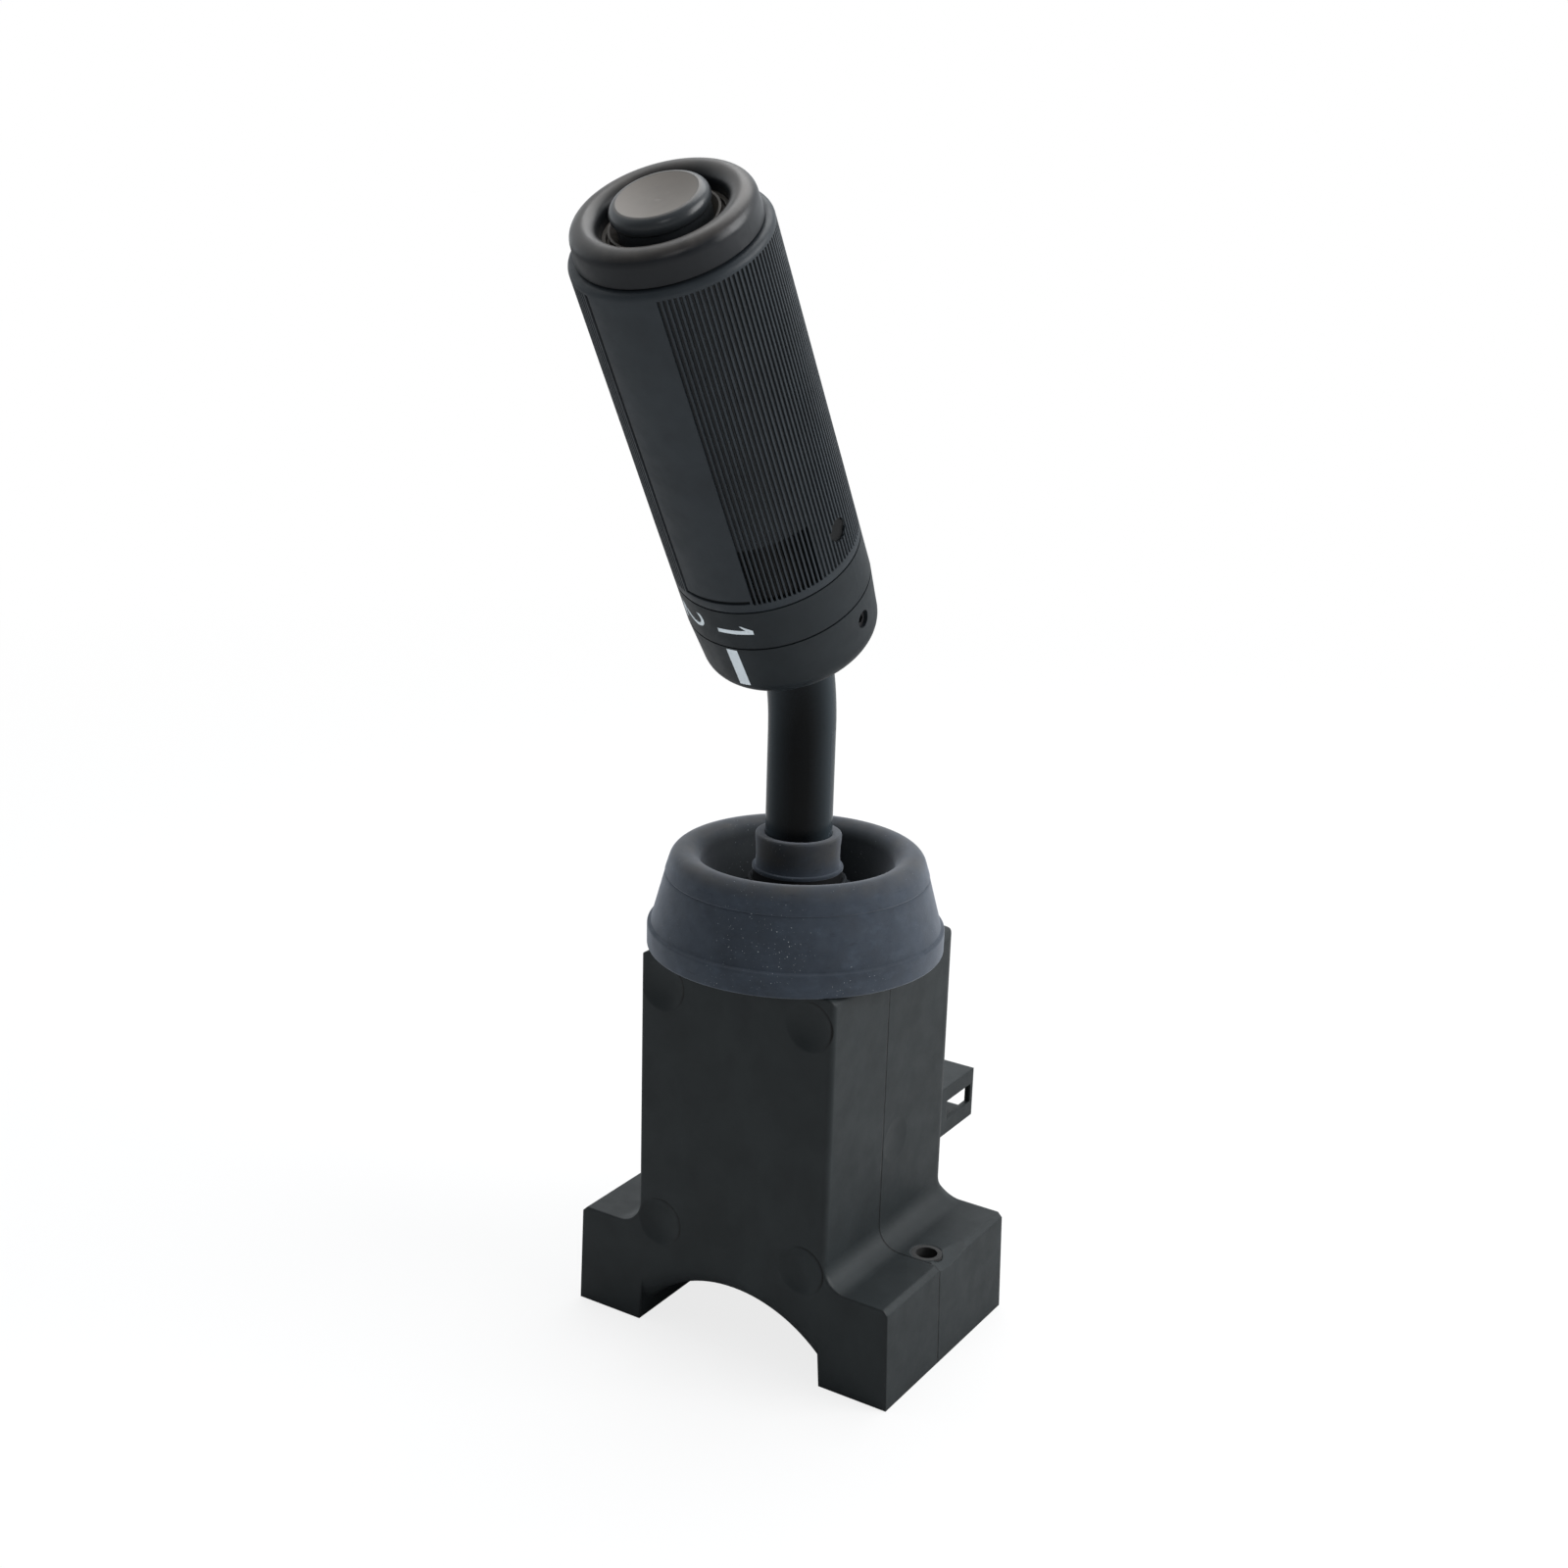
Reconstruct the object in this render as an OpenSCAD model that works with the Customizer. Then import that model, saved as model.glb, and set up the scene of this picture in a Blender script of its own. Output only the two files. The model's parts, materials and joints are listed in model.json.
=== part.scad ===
// Combination stalk switch that sits astride a steering column: a two-part housing,
// a rubber boot, a gimballed lever and a bent stalk with a twist grip and a push button.
// Origin: midway between the two foot bolts, on the plane that the feet stand on.
// +Z runs up the stalk, -Y faces the driver and X runs from foot to foot.

/* [Housing] */
// Width over the two feet
foot_span = 90; // [86:0.5:96]
// Height of the feet
foot_h = 26; // [23:0.5:28]
// How far each foot leans in from its base to its top
foot_lean = 0.8; // [0:0.1:1.5]
// Width of the tower
tower_w = 54; // [52:0.5:56]
// Height of the tower above the base of the feet
tower_h = 99; // [98.5:0.5:101]
// Distance from the bolt line to the driver's side face
front_reach = 29.6; // [29:0.1:31]
// Distance from the bolt line to the connector side face
rear_reach = 28.9; // [28.5:0.1:31]
// Distance of the joint between the two halves in front of the bolt line
parting_offset = 4.2; // [4:0.1:4.8]
// Thickness of the tower's walls
wall = 3; // [2.6:0.1:3.2]
// Top of the solid floor under the mechanism
floor_z = 28; // [27:0.5:29]
// Fillet between the tower and the feet
tower_fillet = 6; // [4:0.5:7]
// Radius of the tower's driver side corners
front_corner_r = 1.2; // [0.6:0.1:2]
// Radius of the tower's connector side corners
rear_corner_r = 4; // [2:0.5:5]
// Radius of the tower's top edges
top_edge_r = 2; // [1:0.1:3]

/* [Saddle] */
// Radius of the steering column that the saddle fits
column_r = 35; // [34:0.5:37]
// Height of the crown of the saddle
saddle_crown = 15.5; // [14:0.5:17]
// Bell mouth radius at both ends of the saddle
saddle_flare = 5.5; // [3:0.5:6]
// Width of the space between the feet
recess_w = 53; // [50:0.5:54]

/* [Mounting] */
// Distance between the two foot bolts
bolt_spacing = 76.5; // [75:0.5:78]
// Radius of the clear hole in each foot sleeve
bolt_hole_r = 2.65; // [2.2:0.05:2.9]
// Outer radius of the foot sleeves
sleeve_r = 3.8; // [3.5:0.1:3.9]

/* [Housing screws] */
// Distance between the screws across the tower
screw_span = 41; // [40:0.5:42]
// Height of the lower screws
screw_low_z = 29; // [28:0.5:30]
// Distance of the upper screws below the top of the tower
screw_drop = 7.7; // [7:0.1:8.5]
// Radius of the screw shanks
screw_r = 2; // [1.5:0.1:2.2]
// Radius of the screw heads
screw_head_r = 3.6; // [3:0.1:3.8]
// Radius of the screw bosses inside the tower
boss_r = 5; // [4.5:0.1:5.2]
// Radius of the dished marks over the screw bosses
dish_r = 6.2; // [5.5:0.1:6.4]
// Depth of the dished marks
dish_depth = 1.5; // [0.8:0.1:1.8]
// Radius of the shallow gate mark on the side of the tower
gate_r = 5.6; // [4:0.1:6]
// Height of the gate mark
gate_z = 52.4; // [48:0.1:56]

/* [Connector] */
// Width of the connector shroud
shroud_w = 44; // [42:0.5:46]
// Height of the connector shroud
shroud_h = 13.4; // [12.6:0.1:14]
// Height of the shroud's underside
shroud_z = 37.9; // [37:0.1:39]
// How far the shroud stands out of the tower
shroud_reach = 24; // [20:0.5:26]
// Thickness of the shroud's walls
shroud_wall = 1.6; // [1.2:0.1:1.8]
// Length of the latch window in each side of the shroud
window_len = 13; // [8:0.5:14]
// Height of the latch windows
window_h = 5.2; // [4:0.1:6]
// Strip of wall left between a window and the shroud's mouth
window_strip = 1.4; // [1:0.1:3]
// Number of contact pins in each of the two rows
pins_per_row = 9; // [7:1:9]
// Distance between neighbouring pins
pin_pitch = 4; // [3.6:0.1:4.1]
// Distance between the two rows of pins
pin_row_gap = 4.5; // [3.5:0.1:5]
// Side of the square pins
pin_side = 0.8; // [0.6:0.1:1]

/* [Boot] */
// Outer radius of the band at the foot of the boot
boot_r = 35.8; // [35:0.1:36.5]
// Height of the band
boot_band_h = 6.2; // [5.8:0.1:6.5]
// Height of the crest of the rolled lip above the tower
boot_h = 24.2; // [23.5:0.1:26]
// Radius of the circle that the rolled lip follows
lip_ring_r = 27.1; // [26.6:0.1:27.6]
// Radius of the rolled lip's own section
lip_r = 3.8; // [3.4:0.1:4]
// Thickness of the boot's rubber
boot_wall = 2.4; // [2:0.1:2.6]
// Outer radius of the housing flange that holds the boot
flange_r = 31; // [30:0.1:31.5]
// Radius of the neck under that flange
neck_r = 26; // [25:0.1:26.5]

/* [Lever] */
// Height of the two crossed pivots
pivot_z = 78; // [77.5:0.1:78.5]
// Outer radius of the lever hub
hub_r = 10.6; // [10.2:0.1:10.8]
// Height of the top of the hub above the tower
hub_rise = 19.3; // [18:0.1:20]
// Radius of the shift pivot pins
shift_pin_r = 4; // [3.5:0.1:4.2]
// Radius of the lift pivot pin
lift_pin_r = 3; // [2.5:0.1:3.2]
// Height of the gimbal ring
gimbal_h = 15; // [13:0.5:15.5]
// Thickness of the gimbal ring's walls
gimbal_wall = 5; // [4:0.1:5.1]
// Radius of the detent plunger
plunger_r = 3; // [2.5:0.1:3.2]
// Swing of the lever each way to forward and reverse
shift_angle = 12; // [8:1:12]

/* [Stalk] */
// Outer radius of the stalk tube
tube_r = 8; // [7.8:0.1:8.2]
// Wall thickness of the stalk tube
tube_wall = 2; // [1.5:0.1:2.5]
// Height where the stalk starts to bend
bend_start_z = 153; // [150:0.5:155]
// Centre line radius of the bend
bend_r = 48.5; // [40:0.5:52]
// Angle of the bend
grip_tilt = 31; // [28:0.5:34]
// Turn of the bend's plane away from the driver's side, towards +X
grip_swing = 2.5; // [0:0.5:10]
// Height of the rubber collar on the hub
collar_h = 9; // [8:0.1:10]
// Outer radius of the rubber collar
collar_r = 10.3; // [10:0.1:10.5]

/* [Grip] */
// Distance from the bend to the lower edge of the index ring
ring_start = 10.2; // [10:0.1:11]
// Length of the fixed index ring
ring_len = 15.7; // [15:0.1:17]
// Length of the number band
band_len = 10; // [10:0.1:11.5]
// Length of the ribbed sleeve
sleeve_len = 79.4; // [78:0.1:84]
// Outer radius at the rounded lower end of the index ring
ring_low_r = 20.5; // [20:0.1:21]
// Outer radius of the grip where the index ring ends
grip_low_r = 21.3; // [21:0.1:22]
// Outer radius at the upper end of the grip
grip_high_r = 21.1; // [20.5:0.1:21.4]
// Number of fine ribs that would fit all round the sleeve
rib_count = 120; // [90:2:120]
// Depth of the grooves between the ribs
rib_depth = 0.35; // [0.2:0.05:0.5]
// Width of those grooves
rib_groove_w = 0.6; // [0.4:0.05:0.7]
// Angle that the smooth thumb panel takes up
panel_angle = 46; // [40:1:56]
// Number of deeper grooves in the patch beside the panel
patch_grooves = 15; // [8:1:15]
// Length of that patch
patch_len = 14; // [10:0.5:20]
// Depth of its grooves
patch_depth = 0.9; // [0.6:0.1:1.2]
// Radius of the barrel that the sleeve turns on
core_r = 17; // [16.5:0.1:17.3]
// Wall thickness of that barrel
core_wall = 2.5; // [2:0.1:3]
// Radius of the plugged hole in the sleeve
plug_r = 2.6; // [2:0.1:2.8]
// Radius of the end bezel's rounded section
bezel_r = 3; // [2.6:0.1:3.2]
// Outer radius of the end bezel
bezel_outer_r = 19.1; // [18.8:0.1:19.3]
// Distance from the bezel's foot to its widest place
bezel_rise = 3.6; // [3.2:0.1:4]

/* [Button] */
// Radius of the button at the mouth of its well
button_r = 9.7; // [9.4:0.1:9.9]
// Widest radius of the button's rounded cap
button_cap_r = 10.3; // [10:0.1:10.4]
// Radius of the rounding round the cap
button_round = 2.2; // [1.8:0.1:2.4]
// Radius of the rim of the button's dish
button_dish_r = 8.5; // [8:0.1:8.7]
// How far the button stands above the crest of the bezel
button_stand = 2.1; // [1.8:0.1:3]
// Travel of the button
button_travel = 2.5; // [2:0.1:3]

/* [Clearances] */
// Gap between pieces that are fixed to each other
seat_gap = 0.05; // [0.03:0.01:0.08]
// Radial clearance of a running fit
run_gap = 0.05; // [0.03:0.01:0.08]
// Gap between pieces that move past each other
part_gap = 0.4; // [0.35:0.05:0.5]

/* [Hidden] */
$fn = 72;

front_y = -front_reach;
rear_y = rear_reach;
parting_y = -parting_offset;
// The stalk stands on a line just behind the joint of the two halves
stalk_y = parting_y + 0.6;
column_z = saddle_crown - column_r;
over = 1;

// Tower hollow
hollow_x = tower_w / 2 - wall;
top_plate = wall + 0.5;
hollow_top = tower_h - top_plate;
hollow_front = front_y + wall;
hollow_rear = rear_y - wall;

// Housing screws, seen from the connector side
screw_head_h = 3;
screw_head_gap = 0.2;
screw_sink = 4.2;
screw_blind_y = front_y + 7;
screw_high_z = tower_h - screw_drop;
screw_socket_r = 1.7;
screw_socket_h = 1.6;

// Gate mark on the side of the tower
gate_y = 1.9;
gate_depth = 0.5;
gate_ball_r = (gate_r * gate_r + gate_depth * gate_depth) / (2 * gate_depth);

// Boot and the flange that it snaps over
neck_h = 2;
flange_h = 2.6;
bead_gap = 0.15;
band_step = 0.8;
cuff_edge = 0.1;
throat_r = 19;
lip_z = tower_h + boot_h - lip_r;
boot_band_z = tower_h + boot_band_h;
cuff_low_z = tower_h + 10;
cuff_low_r = 21.6;

// Gimbal, measured from the stalk line
window_x = hub_r + 0.6;
gimbal_x = window_x + gimbal_wall;
window_front = 13;
window_rear = 17.5;
gimbal_front = stalk_y - window_front - gimbal_wall;
gimbal_rear = stalk_y + window_rear + gimbal_wall;
bush_r = shift_pin_r + 1.5;
bush_boss_r = bush_r + 3;
pivot_gap = 0.5;
bush_blind = 1.7;
pin_end_gap = 0.6;

// Hub and its tail
hub_top_z = tower_h + hub_rise;
hub_low_z = pivot_z - 12;
tube_seat_z = pivot_z + 10;
tail_r = 7.5;
tail_z = pivot_z - 28;
tip_z = pivot_z - 33;
plunger_len = 13;
plunger_bore_z = tail_z + 15;
arm_half = 4;
arm_z = pivot_z - 20;
arm_end_y = stalk_y + 20;
magnet_len = 3.4;
magnet_r = 3;
lift_spring_z = pivot_z - 4.5;
lift_spring_r = 2.4;
lift_spring_half = 3.4;
spring_seat_y = stalk_y + 8.6;
spring_end_gap = 0.3;
roll_pin_z = hub_top_z - 8;
roll_pin_r = 2;
pin_inset = 0.4;

// Board behind the tail
board_x = 21;
board_low_z = floor_z + 7;
board_high_z = pivot_z - 12;
board_t = 1.6;
board_y = hollow_rear - 1.8 - board_t;
board_screw_x = 17.5;
board_screw_r = 1.2;
board_screw_head_r = 2.2;
board_screw_head_h = 1.6;
board_post_r = 2.6;
board_screw_z = [board_low_z + 3, board_high_z - 3];
sensor_side = 4;
sensor_t = 1.5;
sensor_pitch = 9;

// Connector
mouth_y = rear_y + shroud_reach;
shroud_mid_z = shroud_z + shroud_h / 2;
header_low_y = board_y + board_t + 0.3;
header_end_y = rear_y + 7;
pin_end_y = header_end_y + 8;

// Stalk and grip stations, measured along the grip's axis from the bend
bend_tangent = bend_r * tan(grip_tilt / 2);
bend_z = bend_start_z + bend_tangent;
ring_end = ring_start + ring_len;
band_start = ring_end + part_gap;
band_end = band_start + band_len;
band_gap = 0.15;
sleeve_start = band_end + band_gap;
sleeve_end = sleeve_start + sleeve_len;
tube_end = sleeve_start + 16;
core_start = sleeve_start + 1.2;
sleeve_edge = 0.6;
core_end = sleeve_end - sleeve_edge;
core_pin_r = 1.5;
core_pin_station = tube_end - 6;
click_station = tube_end + 18;
click_pocket_w = 8;
click_pocket_len = 16;
bezel_start = sleeve_end + part_gap;
bezel_ring_r = bezel_outer_r - bezel_r;
bezel_mid = bezel_start + bezel_rise;
crest = bezel_mid + bezel_r;
button_top = crest + button_stand;
well_floor = bezel_mid - 1.4;
button_flange_r = button_r + 1.1;
button_flange_top = well_floor - 4;
button_flange_h = 2;
well_r = bezel_ring_r - bezel_r;
well_step = 1;
cup_r = core_r - core_wall - seat_gap;
button_spring_r = 5.2;
button_wire_r = 0.5;
button_spring_turns = 4;
button_spring_len = 2 * button_wire_r * (button_spring_turns + 1) + button_travel
    + spring_end_gap;
contact_h = 3.6;
spring_low = button_flange_top - button_flange_h - spring_end_gap - button_spring_len;
cup_floor = spring_low - spring_end_gap - contact_h;
cup_base = 2;
stator_r = 12.2;
rotor_r = core_r;
switch_start = band_start + 1.5;
switch_len = 9;
key_w = 4;
key_reach = 1.5;
key_inset = 2;
sleeve_bore_r = core_r + run_gap;

// Angles round the grip, from its lower side towards +X
set_screw_turn = 88;
panel_turn = -2.5;
set_screw_r = 2;
set_screw_station = ring_start + 10.3;
plug_station = sleeve_start + 9.8;

// Ribs of the sleeve
rib_pitch = 360 / rib_count;
rib_low = sleeve_start + 2.1;
rib_high = sleeve_end - 1.7;
panel_side = panel_turn + panel_angle / 2;
line_w = 0.9;
line_depth = 0.5;
foot_line_depth = 0.42;
foot_line_lap = 1.5;
patch_groove_w = 0.55;
plug_rib = 22;
plug_turn = panel_side + plug_rib * rib_pitch;

function grip_r(station) =
    grip_low_r + (grip_high_r - grip_low_r) * (station - ring_end) / (sleeve_end - ring_end);

// Places its children on the grip's axis, with Z along it
module on_grip() {
    translate([0, stalk_y, bend_z])
        rotate([0, 0, grip_swing])
            rotate([grip_tilt, 0, 0])
                children();
}

// Turns an outline drawn in X and Z so that it runs from low_y to high_y
module along_y(low_y, high_y) {
    translate([0, high_y, 0])
        rotate([90, 0, 0])
            linear_extrude(high_y - low_y)
                children();
}

// Cylinder along Y
module rod_y(r, low_y, high_y) {
    translate([0, low_y, 0])
        rotate([-90, 0, 0])
            cylinder(r = r, h = high_y - low_y);
}

// Tube between two stations on the Z axis
module pipe(outer_r, inner_r, low, high) {
    difference() {
        translate([0, 0, low])
            cylinder(r = outer_r, h = high - low);
        translate([0, 0, low - over])
            cylinder(r = inner_r, h = high - low + 2 * over);
    }
}

// Rectangle with its own radius at the front and rear corners
module tower_plan() {
    half = tower_w / 2;
    translate([-half, front_y + front_corner_r])
        square([tower_w, rear_y - rear_corner_r - front_y - front_corner_r]);
    translate([-half + front_corner_r, front_y])
        square([tower_w - 2 * front_corner_r, front_corner_r + over]);
    translate([-half + rear_corner_r, rear_y - rear_corner_r - over])
        square([tower_w - 2 * rear_corner_r, rear_corner_r + over]);
    for (side = [-1, 1]) {
        translate([side * (half - front_corner_r), front_y + front_corner_r])
            circle(front_corner_r);
        translate([side * (half - rear_corner_r), rear_y - rear_corner_r])
            circle(rear_corner_r);
    }
}

// Tower with rounded shoulders, seen from the driver's side
module tower_front() {
    half = tower_w / 2;
    translate([-half, 0])
        square([tower_w, tower_h - top_edge_r]);
    translate([-half + top_edge_r, 0])
        square([tower_w - 2 * top_edge_r, tower_h]);
    for (side = [-1, 1])
        translate([side * (half - top_edge_r), tower_h - top_edge_r])
            circle(top_edge_r);
}

// The two feet, seen from the driver's side
module feet_front() {
    half = foot_span / 2;
    edge = 1.2;
    top_half = half - foot_lean;
    polygon([[-half, 0], [half, 0], [top_half, foot_h - edge], [top_half - edge, foot_h],
        [edge - top_half, foot_h], [-top_half, foot_h - edge]]);
}

// Section of the fillet on a foot, from inner_r outwards, where the tower's wall stands at wall_r
module fillet_section(inner_r, wall_r) {
    difference() {
        translate([inner_r, foot_h - over])
            square([wall_r + tower_fillet - inner_r, tower_fillet + over]);
        translate([wall_r + tower_fillet, foot_h + tower_fillet])
            circle(tower_fillet);
    }
}

// Fillet along one side of the tower and a quarter turn of it round each corner
module side_fillet() {
    half = tower_w / 2;
    intersection() {
        union() {
            along_y(front_y + front_corner_r, rear_y - rear_corner_r)
                fillet_section(half - over, half);
            translate([half - front_corner_r, front_y + front_corner_r, 0])
                rotate([0, 0, -90])
                    rotate_extrude(angle = 90)
                        fillet_section(0, front_corner_r);
            translate([half - rear_corner_r, rear_y - rear_corner_r, 0])
                rotate_extrude(angle = 90)
                    fillet_section(0, rear_corner_r);
        }
        translate([0, front_y, 0])
            cube([foot_span, rear_y - front_y, tower_h]);
    }
}

// Bell mouth at one end of the saddle, with its wide end at Z = 0
module saddle_mouth() {
    rotate_extrude()
        difference() {
            translate([0, -over])
                square([column_r + saddle_flare, saddle_flare + over]);
            translate([column_r + saddle_flare, saddle_flare])
                circle(saddle_flare);
        }
}

// Space that the steering column takes up under the tower
module saddle_space() {
    translate([0, 0, column_z]) {
        rod_y(column_r, front_y - over, rear_y + over);
        translate([0, front_y, 0])
            rotate([-90, 0, 0])
                saddle_mouth();
        translate([0, rear_y, 0])
            rotate([90, 0, 0])
                saddle_mouth();
    }
}

// Column space, kept between the inner walls of the feet
module saddle_cut() {
    lean = 1.6;
    base_h = 2;
    high = saddle_crown + saddle_flare + over;
    intersection() {
        union() {
            saddle_space();
            along_y(front_y - over, rear_y + over)
                translate([-recess_w / 2, -over])
                    square([recess_w, over + base_h]);
        }
        along_y(front_y - over, rear_y + over)
            polygon([[-recess_w / 2, -over], [recess_w / 2, -over],
                [recess_w / 2 - lean, high], [lean - recess_w / 2, high]]);
    }
}

// Outside of the two halves together
module housing_block() {
    difference() {
        union() {
            intersection() {
                linear_extrude(tower_h)
                    tower_plan();
                along_y(front_y - over, rear_y + over)
                    tower_front();
            }
            along_y(front_y, rear_y)
                feet_front();
            side_fillet();
            mirror([1, 0, 0])
                side_fillet();
            translate([0, stalk_y, tower_h - over])
                cylinder(r = neck_r, h = over + neck_h + flange_h);
            translate([0, stalk_y, tower_h + neck_h])
                cylinder(r = flange_r, h = flange_h);
        }
        saddle_cut();
    }
}

// Rectangular hollow of the tower with a step where the floor begins
module tower_hollow() {
    translate([-hollow_x, hollow_front, floor_z])
        cube([2 * hollow_x, hollow_rear - hollow_front, hollow_top - floor_z]);
}

// Screw boss, bush boss and board post stock inside the tower
module tower_bosses() {
    intersection() {
        union() {
            for (side = [-1, 1], z = [screw_low_z, screw_high_z])
                translate([side * screw_span / 2, 0, z])
                    rod_y(boss_r, hollow_front - over, hollow_rear + over);
            translate([0, 0, pivot_z]) {
                rod_y(bush_boss_r, hollow_front - over, gimbal_front - pivot_gap);
                rod_y(bush_boss_r, gimbal_rear + pivot_gap, hollow_rear + over);
            }
            for (side = [-1, 1], z = board_screw_z)
                translate([side * board_screw_x, 0, z])
                    rod_y(board_post_r, board_y + board_t, hollow_rear + over);
        }
        translate([-hollow_x - over, hollow_front - over, floor_z - over])
            cube([2 * (hollow_x + over), hollow_rear - hollow_front + 2 * over,
                hollow_top - floor_z + 2 * over]);
    }
}

// Everything that is bored or cut out of the two halves
module housing_cuts() {
    translate([0, stalk_y, hollow_top - over])
        cylinder(r = throat_r, h = tower_h + neck_h + flange_h - hollow_top + 2 * over);
    for (side = [-1, 1])
        translate([side * bolt_spacing / 2, 0, -over])
            cylinder(r = sleeve_r + seat_gap, h = foot_h + 2 * over);
    translate([0, 0, pivot_z]) {
        rod_y(bush_r + seat_gap, front_y + bush_blind, gimbal_front);
        rod_y(bush_r + seat_gap, gimbal_rear, rear_y - bush_blind);
    }
    for (side = [-1, 1], z = [screw_low_z, screw_high_z])
        translate([side * screw_span / 2, 0, z]) {
            rod_y(screw_r + seat_gap, screw_blind_y - seat_gap, rear_y + over);
            rod_y(screw_head_r + screw_head_gap, rear_y - screw_sink, rear_y + over);
            dish_ball_r = (dish_r * dish_r + dish_depth * dish_depth) / (2 * dish_depth);
            translate([0, front_y + dish_depth - dish_ball_r, 0])
                sphere(r = dish_ball_r, $fn = 96);
        }
    for (side = [-1, 1], z = board_screw_z)
        translate([side * board_screw_x, 0, z])
            rod_y(board_screw_r + seat_gap, board_y, hollow_rear);
}

// Keeps the part of its children on one side of the joint between the halves
module half_space(front) {
    reach = 80;
    intersection() {
        children();
        translate([-reach, front ? parting_y - reach : parting_y, -over])
            cube([2 * reach, reach, 3 * reach]);
    }
}

module front_housing() {
    color("#3b3d3f")
    difference() {
        half_space(true)
            union() {
                difference() {
                    housing_block();
                    tower_hollow();
                }
                tower_bosses();
            }
        housing_cuts();
    }
}

// Outside and inside of the connector shroud
module shroud_box(inset, low_y, high_y) {
    translate([-shroud_w / 2 + inset, low_y, shroud_z + inset])
        cube([shroud_w - 2 * inset, high_y - low_y, shroud_h - 2 * inset]);
}

module rear_housing() {
    color("#3b3d3f")
    difference() {
        union() {
            half_space(false)
                difference() {
                    housing_block();
                    tower_hollow();
                }
            half_space(false)
                tower_bosses();
            shroud_box(0, rear_y - over, mouth_y);
        }
        housing_cuts();
        shroud_box(shroud_wall, board_y + board_t, mouth_y + over);
        for (side = [-1, 1])
            translate([side * shroud_w / 2, mouth_y - window_strip - window_len / 2, shroud_mid_z])
                cube([4 * shroud_wall, window_len, window_h], center = true);
        translate([tower_w / 2 - gate_depth + gate_ball_r, gate_y, gate_z])
            sphere(r = gate_ball_r, $fn = 96);
    }
}

module housing_screws() {
    color("#b9bcc0")
    for (side = [-1, 1], z = [screw_low_z, screw_high_z])
        translate([side * screw_span / 2, 0, z])
            difference() {
                union() {
                    rod_y(screw_r, screw_blind_y, rear_y - screw_sink + over);
                    rod_y(screw_head_r, rear_y - screw_sink + seat_gap,
                        rear_y - screw_sink + seat_gap + screw_head_h);
                }
                translate([0, rear_y - screw_sink + seat_gap + screw_head_h + over, 0])
                    rotate([90, 0, 0])
                        cylinder(r = screw_socket_r, h = screw_socket_h + over, $fn = 6);
            }
}

module foot_sleeves() {
    color("#c9ccd0")
    for (side = [-1, 1])
        translate([side * bolt_spacing / 2, 0, 0])
            pipe(sleeve_r, bolt_hole_r, 0, foot_h);
}

// Skirt, rolled lip and inner cuff of the boot as one section
module boot_section() {
    band_low = tower_h + seat_gap;
    bore = neck_r + seat_gap;
    cone_r = boot_r - band_step;
    hollow_r = flange_r + seat_gap;
    difference() {
        union() {
            polygon([[bore, band_low], [boot_r, band_low], [boot_r, boot_band_z - band_step],
                [cone_r, boot_band_z], [lip_ring_r + lip_r, lip_z], [lip_ring_r, lip_z + over],
                [lip_ring_r - lip_r, lip_z], [cuff_low_r, cuff_low_z],
                [cuff_low_r, cuff_low_z - cuff_edge], [bore, cuff_low_z - cuff_edge]]);
            translate([lip_ring_r, lip_z])
                circle(lip_r);
        }
        // Space for the housing flange and the hollow between skirt and cuff
        translate([0, tower_h + neck_h - bead_gap])
            square([hollow_r, flange_h + 2 * bead_gap]);
        polygon([[0, tower_h + neck_h], [hollow_r, tower_h + neck_h],
            [cone_r - boot_wall, boot_band_z], [lip_ring_r + lip_r - boot_wall, lip_z],
            [lip_ring_r - lip_r + boot_wall, lip_z], [cuff_low_r + boot_wall, cuff_low_z],
            [cuff_low_r + boot_wall, cuff_low_z - cuff_edge - over], [0, cuff_low_z - cuff_edge - over]]);
    }
}

module rubber_boot() {
    color("#4f5a68")
    translate([0, stalk_y, 0])
        rotate_extrude($fn = 120)
            boot_section();
}

// Soft fold between the boot's cuff and the hub
module boot_bellows() {
    skin = 1.2;
    fold_r = 2.6;
    fold_z = cuff_low_z - 2;
    outer_h = 6;
    inner_rise = 4;
    inner_h = 3;
    outer_r = cuff_low_r - part_gap;
    inner_r = hub_r + 0.3;
    fold_mid_r = outer_r - fold_r;
    color("#454f5c")
    translate([0, stalk_y, 0])
        rotate_extrude($fn = 96) {
            translate([outer_r - skin, fold_z])
                square([skin, outer_h]);
            difference() {
                translate([fold_mid_r, fold_z])
                    circle(fold_r);
                translate([fold_mid_r, fold_z])
                    circle(fold_r - skin);
                translate([fold_mid_r - 2 * fold_r, fold_z])
                    square(4 * fold_r);
            }
            polygon([[fold_mid_r - fold_r, fold_z], [fold_mid_r - fold_r + skin, fold_z],
                [inner_r + skin, fold_z + inner_rise], [inner_r + skin, fold_z + inner_rise + inner_h],
                [inner_r, fold_z + inner_rise + inner_h], [inner_r, fold_z + inner_rise - skin / 3]]);
        }
}

module pivot_bushes() {
    color("#b08d57")
    translate([0, 0, pivot_z]) {
        difference() {
            rod_y(bush_r, front_y + bush_blind + seat_gap, gimbal_front - pivot_gap);
            rod_y(shift_pin_r + run_gap, front_y, gimbal_front);
        }
        difference() {
            rod_y(bush_r, gimbal_rear + pivot_gap, rear_y - bush_blind - seat_gap);
            rod_y(shift_pin_r + run_gap, gimbal_rear, rear_y);
        }
    }
}

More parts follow.
